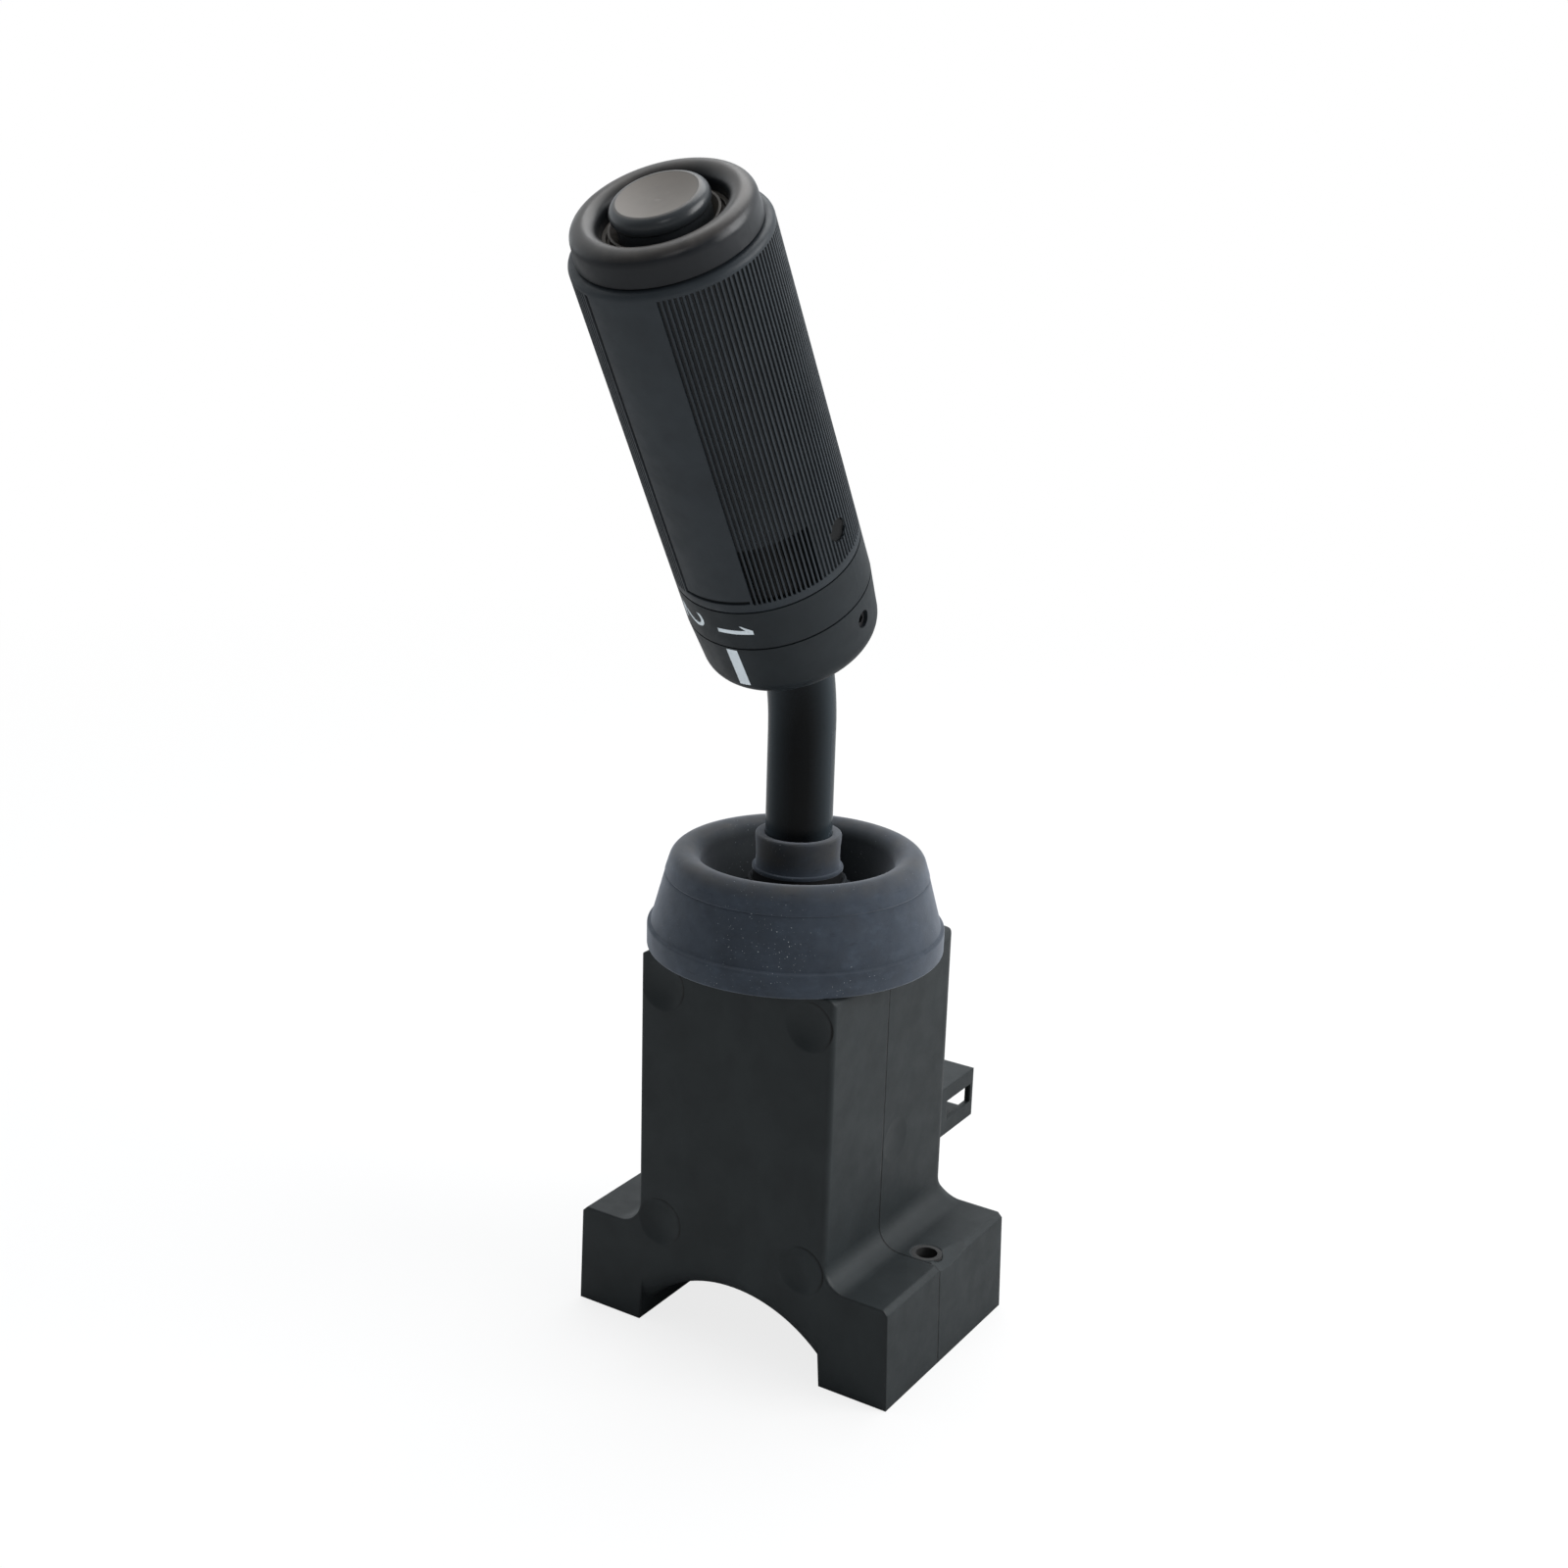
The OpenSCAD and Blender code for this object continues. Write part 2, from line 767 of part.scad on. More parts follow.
// Three notched detent track under the lever's tail
module detent_plate() {
    reach = pivot_z - tip_z + part_gap;
    half_w = 14;
    low_y = stalk_y - 8;
    depth = 15;
    rim_angle = shift_angle + 8;
    notch_sink = 1;
    color("#d8d5c8")
    difference() {
        translate([-half_w, low_y, floor_z])
            cube([2 * half_w, depth, pivot_z - reach * cos(rim_angle) - floor_z]);
        translate([0, 0, pivot_z])
            rod_y(reach, low_y - over, low_y + depth + over);
        for (turn = [-shift_angle, 0, shift_angle])
            translate([0, 0, pivot_z])
                rotate([0, turn, 0])
                    translate([0, 0, plunger_r - notch_sink - reach])
                        rod_y(plunger_r, low_y - over, low_y + depth + over);
    }
}

module circuit_board() {
    color("#2d5a3a")
    difference() {
        translate([-board_x, board_y, board_low_z])
            cube([2 * board_x, board_t, board_high_z - board_low_z]);
        for (side = [-1, 1], z = board_screw_z)
            translate([side * board_screw_x, 0, z])
                rod_y(board_screw_r + seat_gap, board_y - over, board_y + board_t + over);
        pin_places()
            cube([pin_side + part_gap, 4 * board_t, pin_side + part_gap], center = true);
    }
}

// Repeats its children at each contact pin, on the board's plane
module pin_places() {
    for (row = [-1, 1], i = [0:pins_per_row - 1])
        translate([(i - (pins_per_row - 1) / 2) * pin_pitch, board_y, shroud_mid_z + row * pin_row_gap / 2])
            children();
}

module board_screws() {
    color("#b9bcc0")
    for (side = [-1, 1], z = board_screw_z)
        translate([side * board_screw_x, 0, z]) {
            rod_y(board_screw_r, board_y - over, hollow_rear - part_gap);
            rod_y(board_screw_head_r, board_y - board_screw_head_h, board_y - seat_gap);
        }
}

module hall_sensors() {
    color("#1c1c1e")
    for (i = [-1, 0, 1])
        translate([i * sensor_pitch, board_y - seat_gap - sensor_t / 2, arm_z])
            cube([sensor_side, sensor_t, sensor_side], center = true);
}

module connector_header() {
    hole = pin_side + 2 * seat_gap;
    color("#26272a")
    difference() {
        shroud_box(shroud_wall + seat_gap, header_low_y, header_end_y);
        pin_places()
            cube([hole, 2 * shroud_w, hole], center = true);
    }
}

module connector_pins() {
    color("#c8a24a")
    pin_places()
        translate([-pin_side / 2, -over, -pin_side / 2])
            cube([pin_side, pin_end_y - board_y + over, pin_side]);
}

module gimbal_ring() {
    half_h = gimbal_h / 2;
    color("#8f9296")
    difference() {
        translate([-gimbal_x, gimbal_front, pivot_z - half_h])
            cube([2 * gimbal_x, gimbal_rear - gimbal_front, gimbal_h]);
        translate([-window_x, stalk_y - window_front, pivot_z - half_h - over])
            cube([2 * window_x, window_front + window_rear, gimbal_h + 2 * over]);
        translate([0, 0, pivot_z])
            rod_y(shift_pin_r + seat_gap, gimbal_front - over, gimbal_rear + over);
        translate([-gimbal_x - over, stalk_y, pivot_z])
            rotate([0, 90, 0])
                cylinder(r = lift_pin_r + seat_gap, h = 2 * (gimbal_x + over));
    }
}

module shift_pivot_pins() {
    color("#c9ccd0")
    translate([0, 0, pivot_z]) {
        rod_y(shift_pin_r, front_y + bush_blind + pin_end_gap, stalk_y - window_front);
        rod_y(shift_pin_r, stalk_y + window_rear, rear_y - bush_blind - pin_end_gap);
    }
}

module lift_pivot_pin() {
    color("#c9ccd0")
    translate([-gimbal_x, stalk_y, pivot_z])
        rotate([0, 90, 0])
            cylinder(r = lift_pin_r, h = 2 * gimbal_x);
}

// Round wire coil along Z, swept as rings of points
module coil(coil_r, wire_r, height, turns) {
    sides = 6;
    steps = round(turns * 12);
    rings = [for (i = [0:steps]) [for (j = [0:sides - 1])
        let (turn = 360 * turns * i / steps, lean = 360 * j / sides, r = coil_r + wire_r * cos(lean))
            [r * cos(turn), r * sin(turn), wire_r + (height - 2 * wire_r) * i / steps + wire_r * sin(lean)]]];
    sides_faces = [for (i = [0:steps - 1], j = [0:sides - 1], half = [0, 1])
        let (k = (j + 1) % sides, a = i * sides, b = a + sides)
            half == 0 ? [a + j, b + j, b + k] : [a + j, b + k, a + k]];
    low_cap = [[for (j = [0:sides - 1]) j]];
    high_cap = [[for (j = [sides - 1:-1:0]) steps * sides + j]];
    polyhedron([for (ring = rings, point = ring) point], concat(sides_faces, low_cap, high_cap), 4);
}

module lift_return_spring() {
    length = stalk_y + window_rear - spring_seat_y - 2 * spring_end_gap;
    color("#c9ccd0")
    translate([0, spring_seat_y + spring_end_gap, lift_spring_z])
        rotate([-90, 0, 0])
            coil(lift_spring_r, 0.4, length, 4);
}

module lever_hub() {
    color("#1f2022")
    difference() {
        union() {
            translate([0, stalk_y, hub_low_z])
                cylinder(r = hub_r, h = hub_top_z - hub_low_z);
            translate([0, stalk_y, tail_z])
                cylinder(r = tail_r, h = hub_low_z - tail_z + over);
            translate([-arm_half, stalk_y, arm_z - arm_half])
                cube([2 * arm_half, arm_end_y - stalk_y, 2 * arm_half]);
        }
        translate([0, stalk_y, tube_seat_z])
            cylinder(r = tube_r + seat_gap, h = hub_top_z - tube_seat_z + over);
        translate([-hub_r - over, stalk_y, pivot_z])
            rotate([0, 90, 0])
                cylinder(r = lift_pin_r + run_gap, h = 2 * (hub_r + over));
        translate([0, stalk_y, tail_z - over])
            cylinder(r = plunger_r + run_gap, h = plunger_bore_z - tail_z + over);
        translate([-hub_r - over, stalk_y, roll_pin_z])
            rotate([0, 90, 0])
                cylinder(r = roll_pin_r + seat_gap, h = 2 * (hub_r + over));
        // Flat that the return spring leans on
        translate([-hub_r, spring_seat_y, lift_spring_z - lift_spring_half])
            cube([2 * hub_r, hub_r, 2 * lift_spring_half]);
        translate([0, 0, arm_z])
            rotate([-90, 0, 0])
                translate([0, 0, arm_end_y - magnet_len])
                    cylinder(r = magnet_r + seat_gap, h = magnet_len + over);
    }
}

// Bent stalk of the given radius, longer at both ends by extra, and a touch fuller in the bend
module stalk_shape(r, extra) {
    swell = 0.02;
    straight = bend_start_z - tube_seat_z;
    translate([0, stalk_y, tube_seat_z])
        rotate([0, 0, grip_swing]) {
            translate([0, 0, -extra])
                cylinder(r = r, h = straight + extra + over);
            translate([0, -bend_r, straight])
                rotate([90, 0, 90])
                    rotate_extrude(angle = grip_tilt, $fn = 180)
                        translate([bend_r, 0])
                            circle(r + swell);
        }
    on_grip()
        translate([0, 0, bend_tangent - over])
            cylinder(r = r, h = tube_end - bend_tangent + extra + over);
}

module stalk_tube() {
    color("#141517")
    difference() {
        stalk_shape(tube_r, 0);
        stalk_shape(tube_r - tube_wall, over);
        translate([-hub_r, stalk_y, roll_pin_z])
            rotate([0, 90, 0])
                cylinder(r = roll_pin_r + seat_gap, h = 2 * hub_r);
        on_grip()
            translate([-core_r, 0, core_pin_station])
                rotate([0, 90, 0])
                    cylinder(r = core_pin_r + seat_gap, h = 2 * core_r);
    }
}

module tube_roll_pin() {
    color("#9a9da1")
    translate([pin_inset - hub_r, stalk_y, roll_pin_z])
        rotate([0, 90, 0])
            cylinder(r = roll_pin_r, h = 2 * (hub_r - pin_inset));
}

module tube_collar() {
    low = hub_top_z + seat_gap;
    bore = tube_r + seat_gap;
    edge = 0.9;
    lip = 0.3;
    color("#4f5a68")
    translate([0, stalk_y, 0])
        rotate_extrude()
            difference() {
                union() {
                    translate([bore, low])
                        square([hub_r + lip - bore, edge]);
                    translate([bore, low])
                        square([collar_r - bore, collar_h - edge]);
                    translate([bore, low])
                        square([collar_r - edge - bore, collar_h]);
                    translate([collar_r - edge, low + collar_h - edge])
                        circle(edge);
                }
                translate([0, low - over])
                    square([bore, collar_h + 2 * over]);
            }
}

module sensor_magnet() {
    color("#9a9da1")
    translate([0, 0, arm_z])
        rod_y(magnet_r, arm_end_y - magnet_len + seat_gap, arm_end_y + seat_gap);
}

module plunger_spring() {
    wire_r = 0.35;
    low = tip_z + plunger_len + spring_end_gap;
    color("#c9ccd0")
    translate([0, stalk_y, low])
        coil(plunger_r - 2 * wire_r, wire_r, plunger_bore_z - spring_end_gap - low, 5);
}

module detent_plunger() {
    color("#e4e1d6")
    translate([0, stalk_y, tip_z + plunger_r]) {
        sphere(r = plunger_r);
        cylinder(r = plunger_r, h = plunger_len - plunger_r);
    }
}

module index_ring() {
    edge = 5;
    socket_wall = 3;
    rim_wall = 1.2;
    web = 5;
    lead_in = 0.6;
    bore = tube_r + seat_gap;
    low_r = ring_low_r - edge;
    socket_start = bend_tangent + part_gap;
    color("#2e3134")
    on_grip()
        difference() {
            rotate_extrude($fn = 120)
                difference() {
                    union() {
                        polygon([[bore + lead_in, ring_start], [low_r, ring_start],
                            [ring_low_r, ring_start + edge], [grip_r(ring_end), ring_end],
                            [bore, ring_end], [bore, socket_start], [bore + lead_in, socket_start]]);
                        translate([low_r, ring_start + edge])
                            circle(edge);
                    }
                    // Underside is hollow round the tube's socket
                    translate([tube_r + socket_wall, ring_start - over])
                        square([low_r - tube_r - socket_wall - rim_wall, over + ring_len - web]);
                }
            rotate([0, 0, set_screw_turn - 90])
                translate([tube_r - over, 0, set_screw_station])
                    rotate([0, 90, 0])
                        cylinder(r = set_screw_r + seat_gap, h = grip_low_r);
        }
}

module index_set_screw() {
    length = grip_low_r - tube_r - 1.4;
    socket_r = 1.15;
    socket_h = 2;
    color("#0f1011")
    on_grip()
        rotate([0, 0, set_screw_turn - 90])
            translate([tube_r + seat_gap, 0, set_screw_station])
                rotate([0, 90, 0])
                    difference() {
                        cylinder(r = set_screw_r, h = length);
                        translate([0, 0, length - socket_h])
                            cylinder(r = socket_r, h = socket_h + over, $fn = 6);
                    }
}

module switch_stator() {
    color("#d9d2b4")
    on_grip()
        pipe(stator_r - part_gap, tube_r + seat_gap, switch_start, switch_start + switch_len);
}

// Rotor with two keys that turn with the number band
module switch_rotor() {
    color("#b3442f")
    on_grip() {
        pipe(rotor_r, stator_r, switch_start, switch_start + switch_len);
        for (turn = [0, 180])
            rotate([0, 0, turn])
                translate([rotor_r - over, -key_w / 2, switch_start + key_inset])
                    cube([over + key_reach, key_w, switch_len - 2 * key_inset]);
    }
}

module number_band() {
    color("#2e3134")
    on_grip()
        difference() {
            rotate_extrude($fn = 120)
                polygon([[rotor_r + seat_gap, band_start], [grip_r(band_start), band_start],
                    [grip_r(band_end), band_end], [rotor_r + seat_gap, band_end]]);
            for (turn = [0, 180])
                rotate([0, 0, turn])
                    translate([0, -key_w / 2 - seat_gap, switch_start + key_inset - seat_gap])
                        cube([rotor_r + key_reach + seat_gap, key_w + 2 * seat_gap, switch_len]);
        }
}

// Straight grooves along the sleeve, cut to the given depth from the outside
module grooves(turns, width, depth, low, high) {
    inner_r = grip_high_r - depth;
    translate([0, 0, low])
        linear_extrude(high - low)
            for (turn = turns)
                rotate(turn)
                    translate([-width / 2, -inner_r - 2 * over])
                        square([width, 2 * over]);
}

// Turning sleeve with a smooth thumb panel, fine ribs and a patch of deeper grooves
module grip_sleeve() {
    shoulder_r = 1.4;
    first = panel_side + rib_pitch / 2;
    last = panel_side + 360 - panel_angle - rib_pitch / 2;
    patch_high = rib_low + patch_len;
    patch_end = first + (patch_grooves - 0.5) * rib_pitch;
    color("#26292c")
    on_grip()
        difference() {
            // Turned so that its seam runs down the middle of the smooth panel
            rotate([0, 0, panel_turn - 90])
                rotate_extrude($fn = 120) {
                    polygon([[sleeve_bore_r, sleeve_start], [grip_r(sleeve_start), sleeve_start],
                        [grip_high_r, sleeve_end - shoulder_r], [grip_high_r - shoulder_r, sleeve_end],
                        [sleeve_bore_r, sleeve_end]]);
                    translate([grip_high_r - shoulder_r, sleeve_end - shoulder_r])
                        circle(shoulder_r);
                }
            grooves([for (turn = [first:rib_pitch:patch_end]) turn], rib_groove_w, rib_depth,
                patch_high, rib_high);
            grooves([for (turn = [patch_end + rib_pitch / 2:rib_pitch:last]) turn], rib_groove_w,
                rib_depth, rib_low, rib_high);
            grooves([for (i = [0:patch_grooves - 1]) first + i * rib_pitch], patch_groove_w,
                patch_depth, rib_low, patch_high);
            // Line down the panel's far side and along its foot
            grooves([panel_turn - panel_angle / 2], line_w, line_depth, rib_low + line_w / 2, rib_high);
            rotate([0, 0, panel_turn - panel_angle / 2 - foot_line_lap - 90])
                translate([0, 0, rib_low])
                    rotate_extrude(angle = panel_angle + foot_line_lap, $fn = 120)
                        translate([grip_high_r - foot_line_depth, 0])
                            square([2 * over, line_w]);
            rotate([0, 0, plug_turn - 90])
                translate([core_r - over, 0, plug_station])
                    rotate([0, 90, 0])
                        cylinder(r = plug_r + seat_gap, h = grip_low_r);
        }
}

module sleeve_plug() {
    inset = 0.3;
    sink = 0.6;
    depth = grip_r(plug_station) - sleeve_bore_r - inset - sink;
    color("#0f1011")
    on_grip()
        rotate([0, 0, plug_turn - 90])
            translate([sleeve_bore_r + inset, 0, plug_station])
                rotate([0, 90, 0])
                    cylinder(r = plug_r, h = depth);
}

// Barrel on the end of the tube that the sleeve turns on
module grip_core() {
    color("#1f2022")
    on_grip()
        difference() {
            union() {
                pipe(core_r, core_r - core_wall, core_start, core_end);
                pipe(core_r - over, tube_r + seat_gap, core_start, tube_end + core_wall);
            }
            translate([-core_r - over, 0, core_pin_station])
                rotate([0, 90, 0])
                    cylinder(r = core_pin_r + seat_gap, h = 2 * (core_r + over));
            // Pocket for the click spring
            translate([-click_pocket_w / 2, -core_r - over, click_station - click_pocket_len / 2])
                cube([click_pocket_w, core_wall + 2 * over, click_pocket_len]);
        }
}

module core_pin() {
    color("#9a9da1")
    on_grip()
        translate([pin_inset - core_r, 0, core_pin_station])
            rotate([0, 90, 0])
                cylinder(r = core_pin_r, h = 2 * (core_r - pin_inset));
}

// Leaf spring in the core's pocket that clicks into the sleeve's four places
module click_spring() {
    bow_r = 40;
    leaf_t = 0.6;
    width = click_pocket_w - 2 * part_gap;
    length = click_pocket_len - part_gap;
    color("#c9ccd0")
    on_grip()
        intersection() {
            translate([-width / 2, -core_r - over, click_station - length / 2])
                cube([width, core_wall + over, length]);
            translate([-click_pocket_w / 2, bow_r + part_gap - core_r, click_station])
                rotate([0, 90, 0])
                    pipe(bow_r, bow_r - leaf_t, 0, click_pocket_w);
        }
}

// Cup in the end of the core that guides the button
module button_housing() {
    bore = button_flange_r + part_gap;
    rim_r = core_r - part_gap;
    neck_out_r = well_r - seat_gap;
    groove_r = well_r - 0.9;
    guide_r = groove_r - 0.7;
    guide_land = 0.5;
    guide_rise = 1.3;
    guide_sink = 0.6;
    stop_h = 0.2;
    color("#1b1c1e")
    on_grip()
        rotate_extrude() {
            translate([0, cup_floor - cup_base])
                square([cup_r, cup_base - seat_gap]);
            polygon([[bore, cup_floor - over], [cup_r, cup_floor - over], [cup_r, core_end + seat_gap],
                [rim_r, core_end + seat_gap], [rim_r, bezel_start - seat_gap],
                [neck_out_r, bezel_start - seat_gap],
                [neck_out_r, well_floor], [groove_r, well_floor],
                [groove_r, well_floor - well_step], [guide_r, well_floor - well_step],
                [guide_r, well_floor + guide_rise], [guide_r - guide_land, well_floor + guide_rise],
                [button_r + run_gap, well_floor - guide_sink],
                [button_r + run_gap, button_flange_top + stop_h], [bore, button_flange_top + stop_h]]);
        }
}

module end_bezel() {
    foot_flare = 0.3;
    color("#303336")
    on_grip()
        rotate_extrude($fn = 120) {
            polygon([[well_r, bezel_start], [bezel_outer_r + foot_flare, bezel_start],
                [bezel_outer_r, bezel_mid], [well_r, bezel_mid]]);
            translate([bezel_ring_r, bezel_mid])
                circle(bezel_r);
        }
}

module button_contact() {
    pocket_r = 2;
    pocket_h = 0.8;
    color("#d9d2b4")
    on_grip()
        translate([0, 0, cup_floor])
            difference() {
                cylinder(r = button_flange_r - part_gap, h = contact_h);
                translate([0, 0, contact_h - pocket_h])
                    cylinder(r = pocket_r, h = pocket_h + over);
            }
}

module button_spring() {
    color("#c9ccd0")
    on_grip()
        translate([0, 0, spring_low])
            coil(button_spring_r, button_wire_r, button_spring_len, button_spring_turns);
}

module horn_button() {
    dish = 1.1;
    cap_mid = button_top - button_round;
    dish_ball_r = (button_dish_r * button_dish_r + dish * dish) / (2 * dish);
    color("#6a645c")
    on_grip()
        difference() {
            rotate_extrude() {
                translate([0, button_flange_top - button_flange_h])
                    square([button_flange_r, button_flange_h]);
                translate([0, button_flange_top - over])
                    square([button_r, cap_mid - button_flange_top + over]);
                translate([0, cap_mid])
                    square([button_cap_r - button_round, button_round]);
                translate([button_cap_r - button_round, cap_mid])
                    circle(button_round);
            }
            translate([0, 0, button_top - dish + dish_ball_r])
                sphere(r = dish_ball_r, $fn = 96);
        }
}

front_housing();
rear_housing();
housing_screws();
foot_sleeves();
rubber_boot();
boot_bellows();
pivot_bushes();
detent_plate();
circuit_board();
board_screws();
hall_sensors();
connector_header();
connector_pins();
gimbal_ring();
shift_pivot_pins();
lift_pivot_pin();
lift_return_spring();
lever_hub();
stalk_tube();
tube_roll_pin();
tube_collar();
sensor_magnet();
plunger_spring();
detent_plunger();
index_ring();
index_set_screw();
switch_stator();
switch_rotor();
number_band();
grip_sleeve();
sleeve_plug();
grip_core();
core_pin();
click_spring();
button_housing();
end_bezel();
button_contact();
button_spring();
horn_button();
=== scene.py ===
import json
import math
from functools import partial

import bpy
from bpy.props import FloatProperty, FloatVectorProperty, IntProperty, PointerProperty
from mathutils import Matrix, Vector

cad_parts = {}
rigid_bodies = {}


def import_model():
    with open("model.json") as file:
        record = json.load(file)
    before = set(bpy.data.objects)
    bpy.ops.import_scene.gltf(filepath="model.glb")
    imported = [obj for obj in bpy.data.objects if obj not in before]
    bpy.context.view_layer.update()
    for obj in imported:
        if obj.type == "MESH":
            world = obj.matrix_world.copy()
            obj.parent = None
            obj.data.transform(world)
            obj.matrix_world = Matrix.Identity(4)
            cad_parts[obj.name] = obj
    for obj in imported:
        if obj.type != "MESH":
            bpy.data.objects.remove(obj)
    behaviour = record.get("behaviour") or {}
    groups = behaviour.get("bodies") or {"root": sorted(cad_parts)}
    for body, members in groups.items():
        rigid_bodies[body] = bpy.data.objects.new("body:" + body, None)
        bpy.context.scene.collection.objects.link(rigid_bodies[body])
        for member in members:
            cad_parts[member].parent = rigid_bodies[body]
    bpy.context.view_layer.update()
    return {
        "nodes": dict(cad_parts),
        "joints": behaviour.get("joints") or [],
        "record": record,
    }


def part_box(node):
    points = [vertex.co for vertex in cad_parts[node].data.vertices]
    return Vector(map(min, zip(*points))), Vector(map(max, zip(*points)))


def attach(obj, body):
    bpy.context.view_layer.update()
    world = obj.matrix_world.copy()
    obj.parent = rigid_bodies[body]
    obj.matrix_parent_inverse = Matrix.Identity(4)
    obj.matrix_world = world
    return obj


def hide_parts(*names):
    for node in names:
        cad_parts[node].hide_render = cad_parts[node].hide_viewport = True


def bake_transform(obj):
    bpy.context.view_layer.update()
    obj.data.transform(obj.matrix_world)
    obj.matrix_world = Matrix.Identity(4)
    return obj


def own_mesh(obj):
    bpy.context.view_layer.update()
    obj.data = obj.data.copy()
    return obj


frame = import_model()

bl_info = {
    "name": "Column stalk switch",
    "version": (1, 0, 0),
    "blender": (4, 5, 0),
    "location": "View3D > Sidebar > Stalk switch",
    "description": "Dresses the solids of a column stalk switch in rubber, paint and plastic",
    "category": "Object",
}

MM = 0.001
# Vertices nearer than this, in metres, are merged
WELD = 2e-6
UP, REARWARDS, FORWARDS = (0, 0, 1), (0, 1, 0), (0, -1, 0)
JOINTS = {joint["name"]: joint for joint in frame["joints"]}
SLOTS = {part["node"]: part["material_slot"] for part in frame["record"]["subparts"]}

# The stalk stands over the crossed pivots, and the grip leans towards the driver
STALK_FOOT = Vector(JOINTS["shift"]["pos_m"])
GRIP_FOOT = Vector(JOINTS["grip_twist"]["pos_m"])
GRIP_AXIS = Vector(JOINTS["grip_twist"]["axis"]).normalized()
GRIP_SIDE = Vector((-GRIP_AXIS.y, GRIP_AXIS.x, 0)).normalized()
GRIP_REAR = GRIP_AXIS.cross(GRIP_SIDE)
GRIP_PLACE = Matrix.Translation(GRIP_FOOT) @ Matrix((GRIP_SIDE, GRIP_REAR, GRIP_AXIS)).transposed().to_4x4()
STALK_PLACE = Matrix.Translation((STALK_FOOT.x, STALK_FOOT.y, 0))
# Axes as a direction and a point
GRIP_LINE = (GRIP_AXIS, GRIP_FOOT)
STALK_LINE = (UP, STALK_FOOT)
PARTING_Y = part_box("rear_housing")[0].y
# Middles of the dished marks over the screws as (x, z), and their radius, in mm
DISHES = [(side * 20.5, height) for side in (-1, 1) for height in (29, 91.3)]
DISH_R = 6.2


def along_grip(node):
    """Lowest station, highest station and largest radius of a CAD node round the grip's axis, in mm."""
    to_grip = GRIP_PLACE.inverted()
    points = [to_grip @ vertex.co / MM for vertex in frame["nodes"][node].data.vertices]
    stations = [point.z for point in points]
    return min(stations), max(stations), max(math.hypot(point.x, point.y) for point in points)


# Selecting and shaping

def leave_edit():
    if bpy.context.mode != "OBJECT":
        bpy.ops.object.mode_set(mode="OBJECT")


def deselect():
    leave_edit()
    bpy.ops.object.select_all(action="DESELECT")


def pick(piece):
    deselect()
    piece.select_set(True)
    bpy.context.view_layer.objects.active = piece


def added(name):
    """The piece that an operator has just added, under its name."""
    piece = bpy.context.object
    piece.name = piece.data.name = name
    return piece


def edit(piece, select="SELECT"):
    pick(piece)
    bpy.ops.object.mode_set(mode="EDIT")
    bpy.ops.mesh.select_mode(type="VERT")
    bpy.ops.mesh.select_all(action=select)


def extrude(x, y, z):
    """Extrudes what is selected by a step in mm."""
    bpy.ops.mesh.extrude_region_move(TRANSFORM_OT_translate={"value": (x * MM, y * MM, z * MM)})


def close_up(piece, angle=35):
    """Merges doubles, points the faces outwards and smooths all but the sharp edges."""
    edit(piece)
    bpy.ops.mesh.remove_doubles(threshold=WELD)
    bpy.ops.mesh.normals_make_consistent(inside=False)
    leave_edit()
    bpy.ops.object.shade_smooth_by_angle(angle=math.radians(angle))


def keep_place():
    """Moves the place, turn and size of the picked piece into its mesh."""
    bpy.ops.object.transform_apply(location=True, rotation=True, scale=True)


def settle(piece, place):
    """Puts a finished piece in its place, with its origin left at the frame's."""
    pick(piece)
    piece.matrix_world = place @ piece.matrix_world
    keep_place()


def copy_of(node, name):
    """A copy of a CAD solid as a piece with a mesh of its own, in the frame's coordinates."""
    pick(frame["nodes"][node])
    bpy.ops.object.duplicate()
    piece = added(name)
    bpy.ops.object.parent_clear(type="CLEAR_KEEP_TRANSFORM")
    keep_place()
    return piece


def arc(centre, radius, start, end, count):
    """Points of an arc in the outline's plane, with angles in degrees from the outward direction."""
    turns = [math.radians(start + (end - start) * i / count) for i in range(count + 1)]
    return [(centre[0] + radius * math.cos(turn), centre[1] + radius * math.sin(turn)) for turn in turns]


def turned(name, outline, steps):
    """Spins a closed outline of (radius, height) points in mm round the Z axis."""
    deselect()
    bpy.ops.mesh.primitive_circle_add(vertices=3, radius=MM)
    piece = added(name)
    edit(piece)
    bpy.ops.mesh.merge(type="CENTER")
    path = outline + outline[:1]
    bpy.ops.transform.translate(value=(path[0][0] * MM, 0, path[0][1] * MM))
    for last, point in zip(path, path[1:]):
        extrude(point[0] - last[0], 0, point[1] - last[1])
    bpy.ops.mesh.select_all(action="SELECT")
    bpy.ops.mesh.spin(steps=steps, angle=math.tau, center=(0, 0, 0), axis=(0, 0, 1), use_auto_merge=True)
    close_up(piece)
    return piece


def apply_modifier(piece, kind, **settings):
    pick(piece)
    modifier = piece.modifiers.new(kind.title(), kind)
    for name, value in settings.items():
        setattr(modifier, name, value)
    bpy.ops.object.modifier_apply(modifier=modifier.name)


def choose(piece, wanted):
    """Selects the vertices that a test of their place in mm accepts, and goes to edit mode."""
    edit(piece, "DESELECT")
    leave_edit()
    for vertex in piece.data.vertices:
        vertex.select = wanted(vertex.co / MM)
    bpy.ops.object.mode_set(mode="EDIT")


def turn_of(point):
    """Angle in degrees round the grip, from its underside towards +X."""
    return math.degrees(math.atan2(point.x, -point.y))


def give(piece, slot):
    """Dresses a piece in the finish of a slot, which the first operator has made."""
    name = FINISH_NAMES.get(slot)
    if name is None:
        raise RuntimeError(f"the finish for {slot} isn't made yet: run the solids' operator first")
    piece.data.materials.clear()
    piece.data.materials.append(bpy.data.materials[name])


# Finishes

